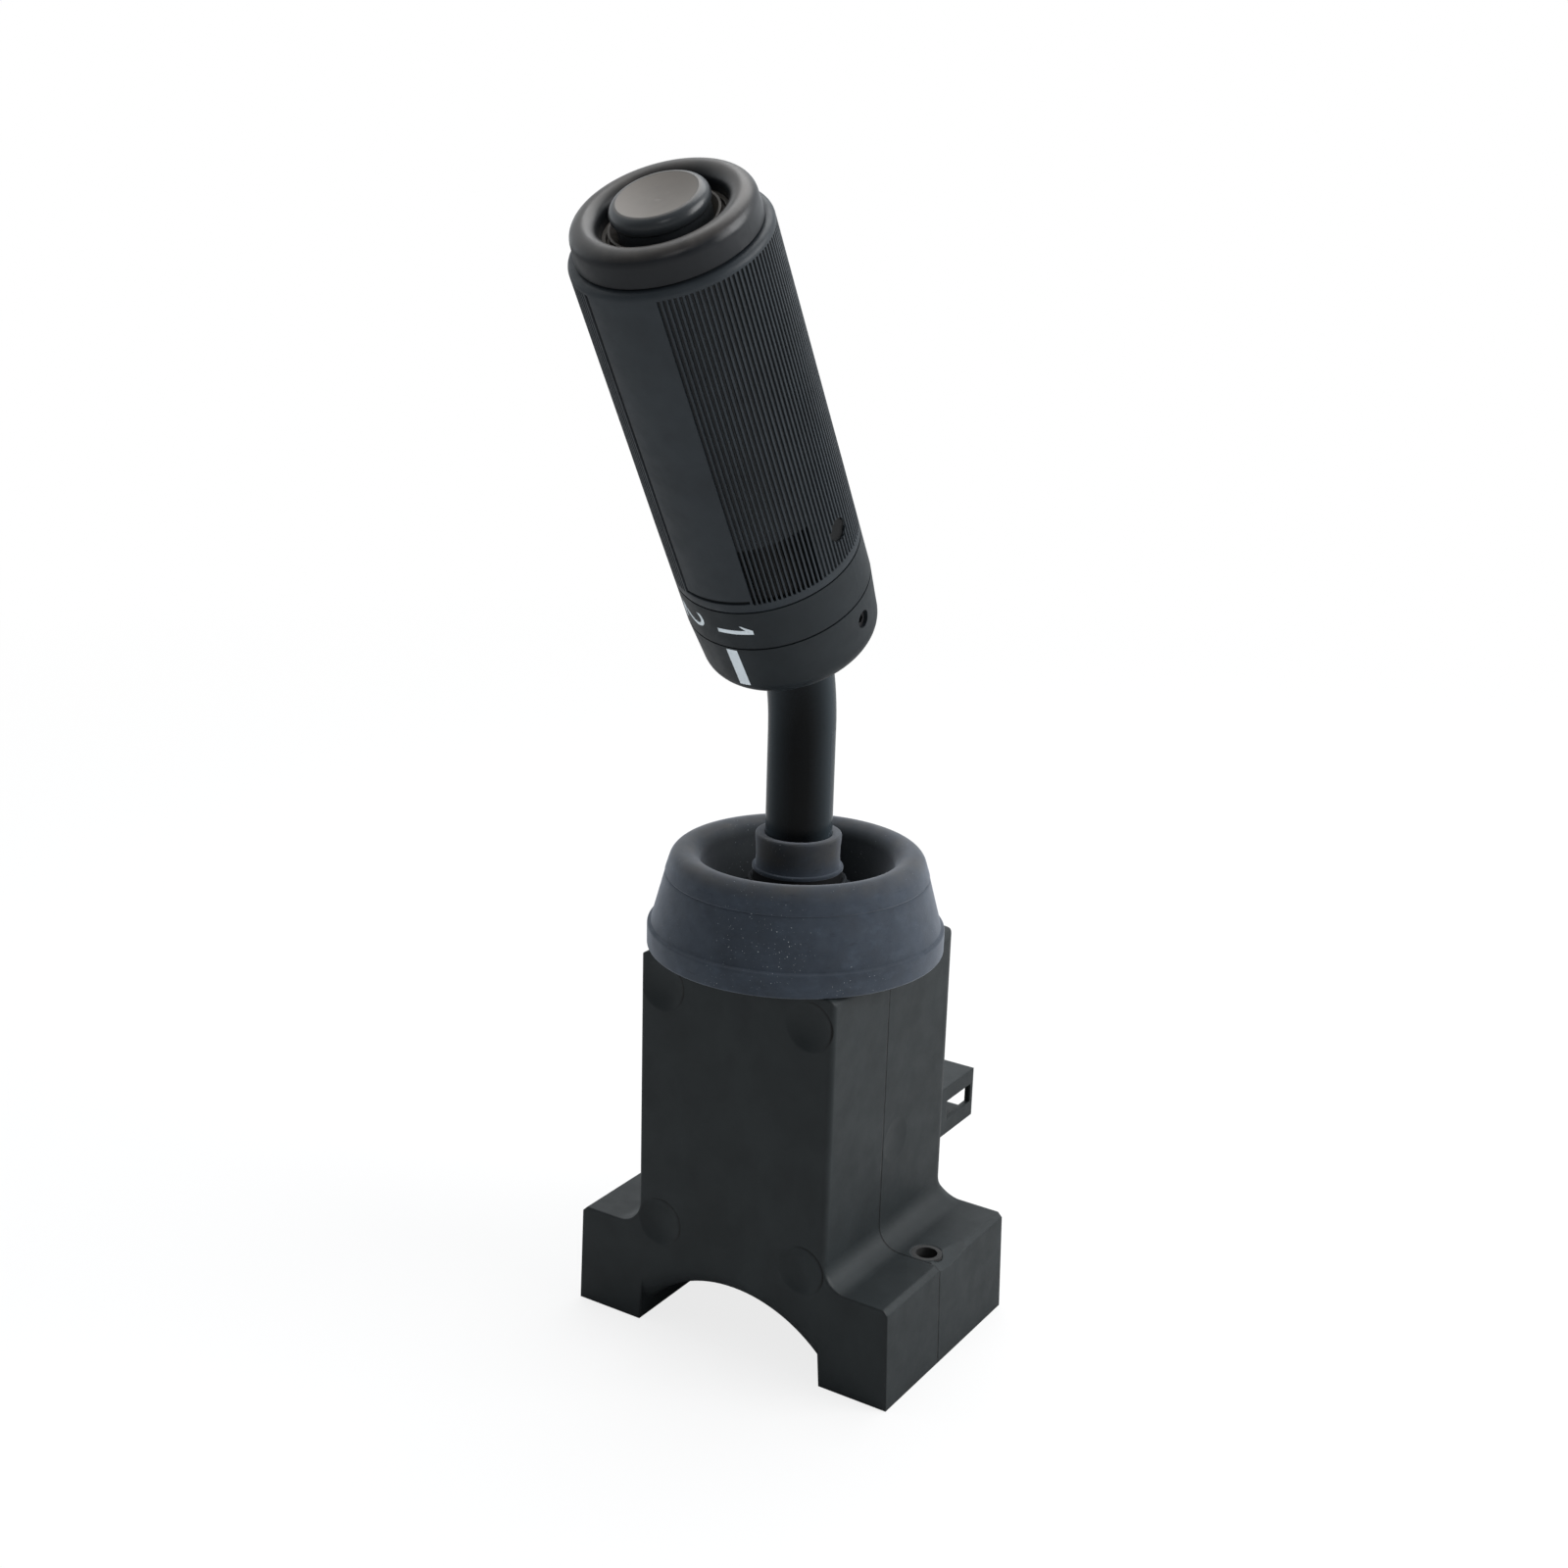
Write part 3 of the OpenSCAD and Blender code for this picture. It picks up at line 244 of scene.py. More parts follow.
# Sockets of a Mix node for colours
MIX_FACTOR, MIX_FIRST, MIX_SECOND, MIX_RESULT = 0, 6, 7, 2
# Stretch of a metal's fine lines that leaves them as plain specks
EVEN = (1, 1, 1)


def scaled(colour, factor):
    return tuple(channel * factor for channel in colour)


class Nodes:
    """The node tree of a material or a world, with the steps that its patterns are made of."""

    def __init__(self, owner):
        owner.use_nodes = True
        self.tree = owner.node_tree

    def node(self, kind, **settings):
        made = self.tree.nodes.new(kind)
        for name, value in settings.items():
            setattr(made, name, value)
        return made

    def join(self, source, target):
        self.tree.links.new(source, target)

    def spread(self, value, low, high, start=0.35, end=0.65, **settings):
        """Maps start to end, by default the middle of a noise, to the range from low to high."""
        made = self.node("ShaderNodeMapRange", **settings)
        for name, number in (("From Min", start), ("From Max", end), ("To Min", low), ("To Max", high)):
            made.inputs[name].default_value = number
        self.join(value, made.inputs["Value"])
        return made.outputs["Result"]

    def combine(self, operation, first, second):
        made = self.node("ShaderNodeMath", operation=operation)
        self.join(first, made.inputs[0])
        self.join(second, made.inputs[1])
        return made.outputs[0]

    def times(self, first, second):
        return self.combine("MULTIPLY", first, second)

    def vector(self, operation, source, other=None):
        """A vector operation on an output and, where it takes one, a plain vector."""
        made = self.node("ShaderNodeVectorMath", operation=operation)
        self.join(source, made.inputs[0])
        if other is not None:
            made.inputs[1].default_value = other
        return made.outputs["Value" if operation in ("DOT_PRODUCT", "LENGTH") else "Vector"]

    def tint(self, factor, first, second):
        """Mixes two colours, or a colour output and a colour, by a factor."""
        made = self.node("ShaderNodeMix", data_type="RGBA")
        self.join(factor, made.inputs[MIX_FACTOR])
        for value, socket in ((first, made.inputs[MIX_FIRST]), (second, made.inputs[MIX_SECOND])):
            if isinstance(value, bpy.types.NodeSocket):
                self.join(value, socket)
            else:
                socket.default_value = (*value, 1)
        return made.outputs[MIX_RESULT]

    def seen_directly(self):
        """1 for camera and transmission rays."""
        path = self.node("ShaderNodeLightPath")
        return self.combine("MAXIMUM", path.outputs["Is Camera Ray"], path.outputs["Is Transmission Ray"])


class Finish(Nodes):
    """A material whose nodes read Object coordinates in metres."""

    def __init__(self, name):
        self.material = bpy.data.materials.new(name)
        super().__init__(self.material)
        self.shader = self.tree.nodes["Principled BSDF"]
        self.place = self.node("ShaderNodeTexCoord").outputs["Object"]

    def set(self, **values):
        for name, value in values.items():
            self.shader.inputs[name.replace("_", " ")].default_value = value

    def mapped(self, setting, value):
        """The place after a Mapping node with one setting changed."""
        mapping = self.node("ShaderNodeMapping")
        mapping.inputs[setting].default_value = value
        self.join(self.place, mapping.inputs["Vector"])
        return mapping.outputs["Vector"]

    def noise(self, size, detail=3.0, roughness=0.55, stretch=None):
        """Cloudy pattern whose features are about size mm across."""
        made = self.node("ShaderNodeTexNoise")
        for name, number in (("Scale", 1 / (size * MM)), ("Detail", detail), ("Roughness", roughness)):
            made.inputs[name].default_value = number
        self.join(self.mapped("Scale", stretch) if stretch else self.place, made.inputs["Vector"])
        return made.outputs["Fac"]

    def height_over(self, direction, origin, low, high):
        """0 at low and 1 at high, in mm along a direction from an origin. Low may be the greater."""
        offset = self.vector("SUBTRACT", self.place, origin)
        along = self.vector("DOT_PRODUCT", offset, direction)
        return self.spread(along, 0, 1, low * MM, high * MM)

    def radius_over(self, direction, origin, low, high):
        """0 at low and 1 at high, in mm from an axis through an origin."""
        offset = self.vector("SUBTRACT", self.place, origin)
        distance = self.vector("LENGTH", self.vector("CROSS_PRODUCT", offset, direction))
        return self.spread(distance, 0, 1, low * MM, high * MM)

    def edge_on(self, low, high):
        """0 where the surface faces the eye and 1 where it turns away."""
        return self.spread(self.node("ShaderNodeLayerWeight").outputs["Facing"], 0, 1, low, high)

    def colour(self, value):
        self.join(value, self.shader.inputs["Base Color"])

    def cloud(self, colour, low, high, size, detail, roughness=0.55):
        """Colours all of it, drifting between two shares of a colour in clouds of size mm."""
        factor = self.spread(self.noise(size, detail, roughness), 0, 1)
        self.colour(self.tint(factor, scaled(colour, low), scaled(colour, high)))

    def cover(self, factor, colour):
        """Lays a colour over what is there already."""
        self.colour(self.tint(factor, self.shader.inputs["Base Color"].links[0].from_socket, colour))

    def rough(self, value):
        self.join(value, self.shader.inputs["Roughness"])

    def uneven(self, low, high, size, detail=3.0):
        """Roughness that drifts between two values in clouds of size mm."""
        self.rough(self.spread(self.noise(size, detail), low, high))

    def relief(self, height, depth, strength=1.0):
        """Bump of the given depth in mm, laid over what is there already."""
        made = self.node("ShaderNodeBump")
        made.inputs["Strength"].default_value = strength
        made.inputs["Distance"].default_value = depth * MM
        self.join(height, made.inputs["Height"])
        normal = self.shader.inputs["Normal"]
        if normal.is_linked:
            self.join(normal.links[0].from_socket, made.inputs["Normal"])
        self.join(made.outputs["Normal"], normal)

    def grain(self, size, depth, detail=3.0, strength=1.0):
        """Cloudy bumps about size mm across and depth mm deep."""
        self.relief(self.noise(size, detail), depth, strength)

    def soften(self, radius):
        """Shades the edges as if rounded by a radius in mm."""
        made = self.node("ShaderNodeBevel", samples=8)
        made.inputs["Radius"].default_value = radius * MM
        target = self.shader.inputs["Normal"]
        while target.is_linked and target.links[0].from_node.bl_idname == "ShaderNodeBump":
            target = target.links[0].from_node.inputs["Normal"]
        self.join(made.outputs["Normal"], target)


def moulded(name, colour, roughness, grain=0.35, grain_depth=0.012, mottle=0.12, mottle_size=14, level=0.3):
    """Moulded plastic with a fine grain, cloudy tone and uneven gloss."""
    finish = Finish(name)
    finish.cloud(colour, 1 - mottle, 1 + mottle, mottle_size, 5)
    finish.uneven(roughness - 0.05, roughness + 0.06, mottle_size * 0.4, 4)
    finish.grain(grain, grain_depth, 2)
    finish.set(Specular_IOR_Level=level)
    return finish


def housing_plastic(colours):
    """Satin nylon with pale smears from rubbing and a fine mould texture."""
    finish = moulded("Housing plastic", colours.housing, 0.47, grain=0.5, grain_depth=0.014, mottle=0.1,
                     level=0.26)
    smear = finish.noise(22, 6, 0.62, stretch=(1, 1, 0.45))
    finish.cover(finish.spread(smear, 0, 0.55, 0.52, 0.72), scaled(colours.housing, 1.55))
    finish.grain(6, 0.03, strength=0.6)
    # Dirt in the line where the halves meet: half its width at the edge and in the dark core, in mm
    edge, core, dirt = 0.3, 0.12, (0.0005, 0.0005, 0.0006)
    parting = (0, PARTING_Y, 0)
    line = finish.times(finish.height_over(REARWARDS, parting, -edge, -core),
                        finish.height_over(FORWARDS, parting, -edge, -core))
    finish.cover(finish.times(line, finish.spread(finish.noise(2.5, 4), 0.25, 1, 0.35, 0.55)), dirt)
    # Shade under the upper right rim of each dished mark, on the front face only
    up_right, face = (0.85, 0, 0.53), 15
    for x, z in DISHES:
        centre = (x * MM, 0, z * MM)
        rim = finish.times(finish.radius_over(REARWARDS, centre, DISH_R - 0.9, DISH_R - 0.25),
                           finish.radius_over(REARWARDS, centre, DISH_R + 0.12, DISH_R - 0.05))
        side = finish.times(finish.height_over(up_right, centre, 0.5, 4.5),
                            finish.height_over(FORWARDS, parting, face, face + 1))
        finish.cover(finish.times(rim, side), scaled(colours.housing, 0.12))
    finish.soften(0.8)
    return finish


def boot_rubber(colours):
    """Matt rubber with a powdery bloom, a handled lip, painted shade in the bowl, wiped streaks and specks of
    dust.
    """
    finish = Finish("Boot rubber")
    finish.cloud(colours.rubber, 0.84, 1.16, 9, 6, 0.6)
    bloom = finish.noise(5, 7, 0.68, stretch=(1, 1, 1.8))
    finish.cover(finish.spread(bloom, 0, 0.5, 0.52, 0.75), scaled(colours.rubber, 1.7))
    crest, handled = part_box("rubber_boot")[1].z / MM, (0.046, 0.046, 0.046)
    lip = finish.height_over(UP, (0, 0, 0), crest - 3.2, crest - 0.6)
    finish.cover(finish.times(lip, finish.spread(finish.noise(7, 4), 0.35, 1)), handled)
    # Painted shade in the bowl inside the lip, without the collar that shares this finish
    bowl_r, collar_r, painted_bowl_shade = 24.6, 12, (0.020, 0.024, 0.027)
    bowl = finish.times(finish.radius_over(*STALK_LINE, bowl_r, bowl_r - 1.2),
                        finish.radius_over(*STALK_LINE, collar_r, collar_r + 1))
    finish.cover(bowl, painted_bowl_shade)
    wiped = finish.noise(3.4, 5, 0.7, stretch=(0.5, 0.5, 2.6))
    finish.cover(finish.spread(wiped, 0, 0.6, 0.6, 0.7), scaled(colours.rubber, 0.55))
    # Dust in drifting patches, and thickest on the side that faces the camera
    towards_camera, dusty_spot = (0.53, -0.85, 0), (0.008, -0.03, 0.1115)
    patch = finish.combine("MAXIMUM", finish.spread(finish.noise(12, 2), 0, 0.6, 0.52, 0.62),
                           finish.radius_over(towards_camera, dusty_spot, 13, 5))
    speck = finish.spread(finish.noise(0.36, 1), 0, 1, 0.735, 0.765)
    finish.cover(finish.times(speck, patch), colours.dust)
    finish.uneven(0.72, 0.88, 4)
    finish.grain(0.4, 0.02)
    finish.grain(5, 0.06, strength=0.5)
    finish.set(Specular_IOR_Level=0.25, Sheen_Weight=0.32, Sheen_Roughness=0.45,
               Sheen_Tint=(0.85, 0.9, 1.0, 1))
    return finish


def tube_paint(colours):
    """Gloss black paint with a trace of orange peel, and a painted reflection that makes it paler where it
    turns away.
    """
    finish = Finish("Tube gloss black")
    finish.cloud(colours.tube, 0.8, 1.2, 7, 4)
    # Painted reflection: the colour is made much paler where the surface turns away from the eye
    finish.cover(finish.edge_on(0.06, 0.55), scaled(colours.tube, 17))
    finish.uneven(0.13, 0.2, 3, 4)
    finish.grain(1.6, 0.006, 2)
    finish.set(Specular_IOR_Level=0.16)
    return finish


def grip_plastic(name, colour, roughness, level=0.3):
    """Fine satin of the grip, dulled where hands rub it."""
    finish = moulded(name, colour, roughness, grain=0.3, grain_depth=0.008, mottle=0.1, mottle_size=10,
                     level=level)
    finish.grain(9, 0.02, 2, 0.5)
    return finish


def bezel_rubber(colours):
    """Dark satin ring whose crest is painted a lighter, browner grey, for the wear of rubbing and as painted
    light from above.
    """
    finish = grip_plastic("Bezel rubber", colours.bezel, 0.36, level=0.42)
    crest, worn_and_lit_grey = along_grip("end_bezel")[1], (0.062, 0.055, 0.050)
    # Lighter grey over the crest: partly wear from rubbing, partly painted light from above
    crest_wear_and_light = finish.height_over(*GRIP_LINE, crest - 1.5, crest - 0.2)
    finish.cover(finish.times(crest_wear_and_light, finish.spread(finish.noise(8, 4), 0.5, 1)), worn_and_lit_grey)
    return finish


def sleeve_plastic(colours):
    """The grip's plastic with painted shade in the grooves."""
    finish = grip_plastic("Ribbed sleeve plastic", colours.grip, 0.46)
    _, high, ridge_r = along_grip("grip_sleeve")
    below_shoulder = finish.height_over(*GRIP_LINE, high - 1.8, high - 1.9)
    # Depths in mm where the painted groove shade starts and is full, in the fine and the deep grooves, and
    # how dark it makes them
    for start, full, shade in ((0.22, 0.4, 0.4), (0.6, 0.75, 0.1)):
        groove = finish.radius_over(*GRIP_LINE, ridge_r - start, ridge_r - full)
        finish.cover(finish.times(groove, below_shoulder), scaled(colours.grip, shade))
    return finish


def button_plastic(colours):
    """Dark gloss sides under a pale satin dish that lightens a little towards its rim."""
    finish = Finish("Button plastic")
    dish_to_side = finish.radius_over(*GRIP_LINE, 8.0, 9.1)
    middle_to_rim = finish.radius_over(*GRIP_LINE, 1.5, 8.2)
    finish.cloud(colours.button_top, 0.92, 1.06, 3.5, 5)
    finish.cover(middle_to_rim, scaled(colours.button_top, 1.1))
    finish.cover(dish_to_side, colours.button_side)
    finish.rough(finish.spread(dish_to_side, 0.5, 0.3, 0, 1))
    finish.grain(0.35, 0.01)
    finish.set(Specular_IOR_Level=0.4)
    return finish


def metal(name, colour, roughness, scratch=(1, 1, 14)):
    """Plated or drawn metal with fine lines and a cloudy tone."""
    finish = Finish(name)
    finish.cloud(colour, 0.84, 1.06, 4, 4)
    lines = finish.noise(0.6, 3, stretch=scratch)
    finish.rough(finish.spread(lines, roughness - 0.07, roughness + 0.09))
    finish.relief(lines, 0.006)
    finish.set(Metallic=1.0)
    return finish


def board_laminate():
    """Green lacquered board with faint copper tracks under the lacquer."""
    finish = Finish("Board laminate")
    tracks = finish.node("ShaderNodeTexBrick")
    for name, number in (("Scale", 260), ("Mortar Size", 0.03), ("Brick Width", 0.8), ("Row Height", 0.35)):
        tracks.inputs[name].default_value = number
    finish.join(finish.mapped("Rotation", (math.radians(90), 0, 0)), tracks.inputs["Vector"])
    dark_green, green, copper = (0.02, 0.11, 0.045), (0.03, 0.15, 0.06), (0.07, 0.26, 0.1)
    finish.colour(finish.tint(finish.spread(finish.noise(5), 0, 1), dark_green, green))
    finish.cover(tracks.outputs["Fac"], copper)
    finish.uneven(0.28, 0.4, 1.5)
    finish.relief(tracks.outputs["Fac"], 0.03)
    return finish


def white_paint(colours):
    """Printed white that has worn thin here and there."""
    finish = Finish("White marking")
    worn = finish.spread(finish.noise(1.1, 5, 0.65), 0, 0.35, 0.56, 0.72)
    finish.colour(finish.tint(worn, colours.marks, scaled(colours.marks, 0.55)))
    finish.uneven(0.5, 0.62, 0.8)
    finish.grain(0.3, 0.006, 2)
    return finish


def make_finishes(colours):
    """The finishes of the record's slots, of the nodes that look different and of the markings."""
    made = {
        "housing_plastic": housing_plastic(colours),
        "boot_rubber": boot_rubber(colours),
        "tube_black": tube_paint(colours),
        "grip_plastic": grip_plastic("Grip plastic", colours.grip, 0.46),
        "band_plastic": grip_plastic("Band plastic", colours.band, 0.44),
        "bezel_rubber": bezel_rubber(colours),
        "ribbed_sleeve": sleeve_plastic(colours),
        "button_plastic": button_plastic(colours),
        "zinc_steel": metal("Zinc plated steel", (0.62, 0.62, 0.64), 0.32),
        "spring_steel": metal("Spring wire", (0.5, 0.5, 0.52), 0.3, EVEN),
        "bush_bronze": metal("Sintered bronze", (0.58, 0.39, 0.2), 0.5, EVEN),
        "contact_brass": metal("Tinned brass", (0.78, 0.6, 0.28), 0.25, (8, 1, 8)),
        "gimbal_alloy": metal("Cast alloy", (0.46, 0.46, 0.48), 0.48, EVEN),
        "magnet_alloy": metal("Nickel plated magnet", (0.36, 0.35, 0.33), 0.25, EVEN),
        "slider_plastic": moulded("Natural acetal", (0.7, 0.68, 0.6), 0.42, mottle=0.05, level=0.5),
        "chip_plastic": moulded("Chip and header plastic", (0.018, 0.018, 0.019), 0.5, level=0.4),
        "hub_plastic": moulded("Filled nylon hub", (0.014, 0.0145, 0.016), 0.44, grain=0.6, level=0.35),
        "rotor_plastic": moulded("Rotor plastic", (0.42, 0.09, 0.055), 0.42, mottle=0.08, level=0.45),
        "board_laminate": board_laminate(),
        "white_marking": white_paint(colours),
        "plug_rubber": moulded("Plug rubber", (0.004, 0.0045, 0.005), 0.6, level=0.2),
        "well_plastic": moulded("Button well plastic", (0.06, 0.052, 0.045), 0.6, level=0.3),
        "dull_steel": metal("Dulled foot sleeve", (0.1, 0.1, 0.1), 0.6, EVEN),
        "bellows_rubber": moulded("Bellows rubber", (0.009, 0.011, 0.014), 0.75, mottle=0.3, level=0.2),
    }
    return {slot: finish.material for slot, finish in made.items()}


# Material names by slot, filled by the first operator
FINISH_NAMES = {}
# Nodes that look different from their slot in the photo
OWN_FINISH = {"sleeve_plug": "plug_rubber", "index_set_screw": "hub_plastic", "foot_sleeves": "dull_steel",
              "button_housing": "well_plastic"}


# Settings

ColourProperty = partial(FloatVectorProperty, subtype="COLOR", min=0, max=1)


class StalkColours(bpy.types.PropertyGroup):
    """Base colours of the finishes that show, in linear light"""

    housing: ColourProperty(
        name="Housing", description="Nylon of the two housing halves", default=(0.0165, 0.0205, 0.0222))
    rubber: ColourProperty(
        name="Rubber", description="Rubber of the boot and the collar", default=(0.028, 0.0365, 0.050))
    dust: ColourProperty(name="Dust", description="Specks of dust on the boot", default=(0.4, 0.42, 0.44))
    tube: ColourProperty(name="Tube", description="Paint of the stalk tube", default=(0.0014, 0.0019, 0.0023))
    grip: ColourProperty(
        name="Grip", description="Turning sleeve of the grip", default=(0.0205, 0.0262, 0.0318))
    band: ColourProperty(
        name="Band", description="Number band and index ring", default=(0.0118, 0.0160, 0.0192))
    bezel: ColourProperty(
        name="Bezel", description="Rolled ring round the button", default=(0.0050, 0.0065, 0.0090))
    button_top: ColourProperty(
        name="Button top", description="Dished top of the button", default=(0.13, 0.115, 0.1))
    button_side: ColourProperty(
        name="Button side", description="Side of the button", default=(0.030, 0.034, 0.038))
    marks: ColourProperty(
        name="Markings", description="Printed numbers and index line", default=(0.62, 0.68, 0.72))


class StalkBoot(bpy.types.PropertyGroup):
    """Shape of the rubber parts, in millimetres"""

    edge: FloatProperty(
        name="Edge", description="Rounding of the band's edges in mm", default=0.6, min=0.2, max=1)
    crease: FloatProperty(
        name="Crease", description="Depth in mm of the line under the lip", default=0.16, min=0, max=0.5)
    crease_drop: FloatProperty(
        name="Crease drop", description="How far in mm the line lies below the crest", default=6,
        min=3, max=9)
    steps: IntProperty(name="Steps", description="Faces round the boot", default=160, min=48, max=256)


class StalkRibs(bpy.types.PropertyGroup):
    """Ribs and panel of the grip sleeve"""

    pitch: FloatProperty(
        name="Pitch", description="Turn from one rib to the next, in degrees", default=3, min=2, max=6)
    depth: FloatProperty(
        name="Depth", description="Depth of the fine grooves in mm", default=0.38, min=0.1, max=0.6)
    patch_depth: FloatProperty(
        name="Patch depth", description="Depth of the patch's grooves in mm", default=0.9, min=0.3, max=1.4)
    patch_grooves: IntProperty(
        name="Patch grooves", description="Number of deep grooves", default=15, min=4, max=20)
    panel_low: FloatProperty(
        name="Panel start", description="Turn of the line at the panel's far side, in degrees",
        default=-25.5, min=-60, max=0)
    panel_high: FloatProperty(
        name="Panel end", description="Turn where the ribs begin, in degrees", default=20.5, min=0, max=60)


class StalkMarks(bpy.types.PropertyGroup):
    """Printed markings of the grip"""

    digit_length: FloatProperty(
        name="Digit length", description="Height of each number in mm", default=8.6, min=5, max=9)
    digit_width: FloatProperty(
        name="Digit width", description="Width of each number in mm", default=4.6, min=3, max=6)
    first_turn: FloatProperty(
        name="First number", description="Turn of the number 1 from the grip's underside, in degrees",
        default=4.4, min=-20, max=20)
    pitch: FloatProperty(
        name="Pitch", description="Turn between two numbers, in degrees", default=34, min=20, max=45)
    bar_width: FloatProperty(
        name="Index width", description="Width of the index line in mm", default=2.75, min=1, max=4)
    bar_turn: FloatProperty(
        name="Index turn", description="Turn of the index line, in degrees", default=-2.4, min=-20, max=20)
    print_lift: FloatProperty(
        name="Print lift", description="How far in mm the print stands off the plastic", default=0.04,
        min=0.01, max=0.2)


class StalkStage(bpy.types.PropertyGroup):
    """Lights and backdrop"""

    surround: FloatProperty(
        name="Surround", description="Strength of the surround behind the switch", default=1.0, min=0, max=1)
    front: FloatProperty(
        name="Front", description="Share of that strength on the camera's side", default=0.14, min=0, max=1)
    key: FloatProperty(
        name="Key", description="Power of the side softbox in watts", default=9.0, min=0, max=100)
    top: FloatProperty(
        name="Top", description="Power of the top softbox in watts", default=6.0, min=0, max=100)
    fill: FloatProperty(
        name="Fill", description="Power of the front softbox in watts", default=0.7, min=0, max=100)


# Pieces

class STALK_OT_solids(bpy.types.Operator):
    """Give every CAD solid the finish of its slot"""

    bl_idname = "stalk.solids"
    bl_label = "Finish the solids"

    def execute(self, context):
        finishes = make_finishes(context.scene.stalk_colours)
        FINISH_NAMES.update({slot: material.name for slot, material in finishes.items()})
        for name, node in frame["nodes"].items():
            material = finishes[OWN_FINISH.get(name, SLOTS[name])]
            if not node.material_slots:
                node.data.materials.append(material)
            for place in node.material_slots:
                place.material = material
        return {"FINISHED"}


class STALK_OT_boot(bpy.types.Operator):
    """Turn the rubber boot with its band, crease, rolled lip and hollow underside"""

    bl_idname = "stalk.boot"
    bl_label = "Rubber boot"

    def execute(self, context):
        settings = context.scene.stalk_boot
        low, high = (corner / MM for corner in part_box("rubber_boot"))
        foot, crest = low.z, high.z
        band_r = (high.x - low.x) / 2
        bore, slot_r, wall, lip_r = 26.05, 31.05, 2.4, 3.8
        lip, lip_end = (27.1, crest - lip_r), 189
        cone_low_r, cone_low = band_r - 0.85, foot + 6.35
        # The skirt's straight flank ends where it meets the rolled lip
        lean = math.atan2(cone_low_r - lip[0] - lip_r, lip[1] - cone_low)
        cone_high_r, cone_high = lip[0] + lip_r * math.cos(lean), lip[1] + lip_r * math.sin(lean)
        lean = math.degrees(lean)
        crease = crest - settings.crease_drop
        crease_r = cone_low_r + (crease - cone_low) / (cone_high - cone_low) * (cone_high_r - cone_low_r)
        edge = settings.edge
        outline = [(bore, foot), (band_r - edge, foot)]
        outline += arc((band_r - edge, foot + edge), edge, -90, 0, 5)
        outline += arc((band_r - edge, foot + 5.15), edge, 0, 80, 6)
        outline += [(cone_low_r - 0.05, cone_low - 0.3), (cone_low_r - 0.12, cone_low)]
        outline += [(crease_r + 0.18, crease - 0.75), (crease_r + 0.02, crease - 0.25),
                    (crease_r - settings.crease, crease), (crease_r + 0.02, crease + 0.3)]
        outline += arc(lip, lip_r, lean, lip_end, 26)
        # Inner cuff that holds the bellows
        outline += [(21.62, 109.5), (21.75, 109.1), (22.1, 108.92),
                    (23.4, 108.92), (23.9, 109.2), (24.05, 109.6)]
        outline += arc(lip, lip_r - wall, lip_end, lean, 12)
        outline += [(cone_low_r - wall, cone_low), (slot_r, foot + 4.7),
                    (slot_r, foot + 1.8), (bore, foot + 1.8)]
        boot = turned("boot_skirt", outline, settings.steps)
        give(boot, "boot_rubber")
        settle(boot, STALK_PLACE)
        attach(boot, "base")
        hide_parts("rubber_boot")
        return {"FINISHED"}


class STALK_OT_bellows(bpy.types.Operator):
    """Turn the soft fold from the boot's cuff to the lever, as two rings"""

    bl_idname = "stalk.bellows"
    bl_label = "Bellows"

    def execute(self, context):
        # The low ring's fold and slope, then the slope and the sleeve round the hub
        outline = [(21.4, 109.6), (21.4, 105.8)] + arc((20.1, 105.6), 1.3, 0, -180, 12)
        outline += [(18.75, 108.0), (16.6, 109.8), (13.2, 111.5), (13.3, 112.2), (17.0, 110.7)]
        outline += [(19.4, 108.7), (19.45, 105.9)] + arc((20.1, 105.7), 0.6, 180, 360, 6) + [(20.75, 109.6)]
        low_ring = turned("bellows_low_ring", outline, 120)
        hub_r, top = 10.75, 115.9
        outline = [(13.5, 111.45), (14.4, 112.0), (12.6, 113.6), (hub_r + 1.1, 114.6), (hub_r + 1.1, top),
                   (hub_r + 0.6, top + 0.35), (hub_r, top), (hub_r, 114.0), (12.2, 112.6)]
        high_ring = turned("bellows_high_ring", outline, 120)
        seam_r, seam_top, seam_stretch = 14.6, 112.5, 1.13
        for ring, bodies, start, end in ((low_ring, ("base", "gimbal"), 108.6, 111.6),
                                         (high_ring, ("gimbal", "lever"), 111.6, 114.4)):
            give(ring, "bellows_rubber")
            # The seam between the rings is oval, longer along Y
            choose(ring, lambda point: point.xy.length < seam_r and point.z < seam_top)
            bpy.ops.transform.resize(value=(1, seam_stretch, 1), center_override=(0, 0, 0))
            leave_edit()
            settle(ring, STALK_PLACE)
            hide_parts("boot_bellows")
            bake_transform(ring)
        return {"FINISHED"}


class STALK_OT_springs(bpy.types.Operator):
    """Put smooth copies of the plunger's, the button's and the lift's spring in place of their solids"""

    bl_idname = "stalk.springs"
    bl_label = "Springs"

    def execute(self, context):
        for node, joint in (("plunger_spring", "detent_press"), ("button_spring", "button_press")):
            spring = self.coil(node, node + "_coil")
            # The end that the moving piece presses towards stands still
            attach(spring, "lever")
            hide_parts(node)
            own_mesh(spring)
        spring = self.coil("lift_return_spring", "lift_return_coil")
        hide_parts("lift_return_spring")
        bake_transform(spring)
        return {"FINISHED"}

    def coil(self, node, name):
        spring = copy_of(node, name)
        close_up(spring, 50)
        give(spring, "spring_steel")
        return spring


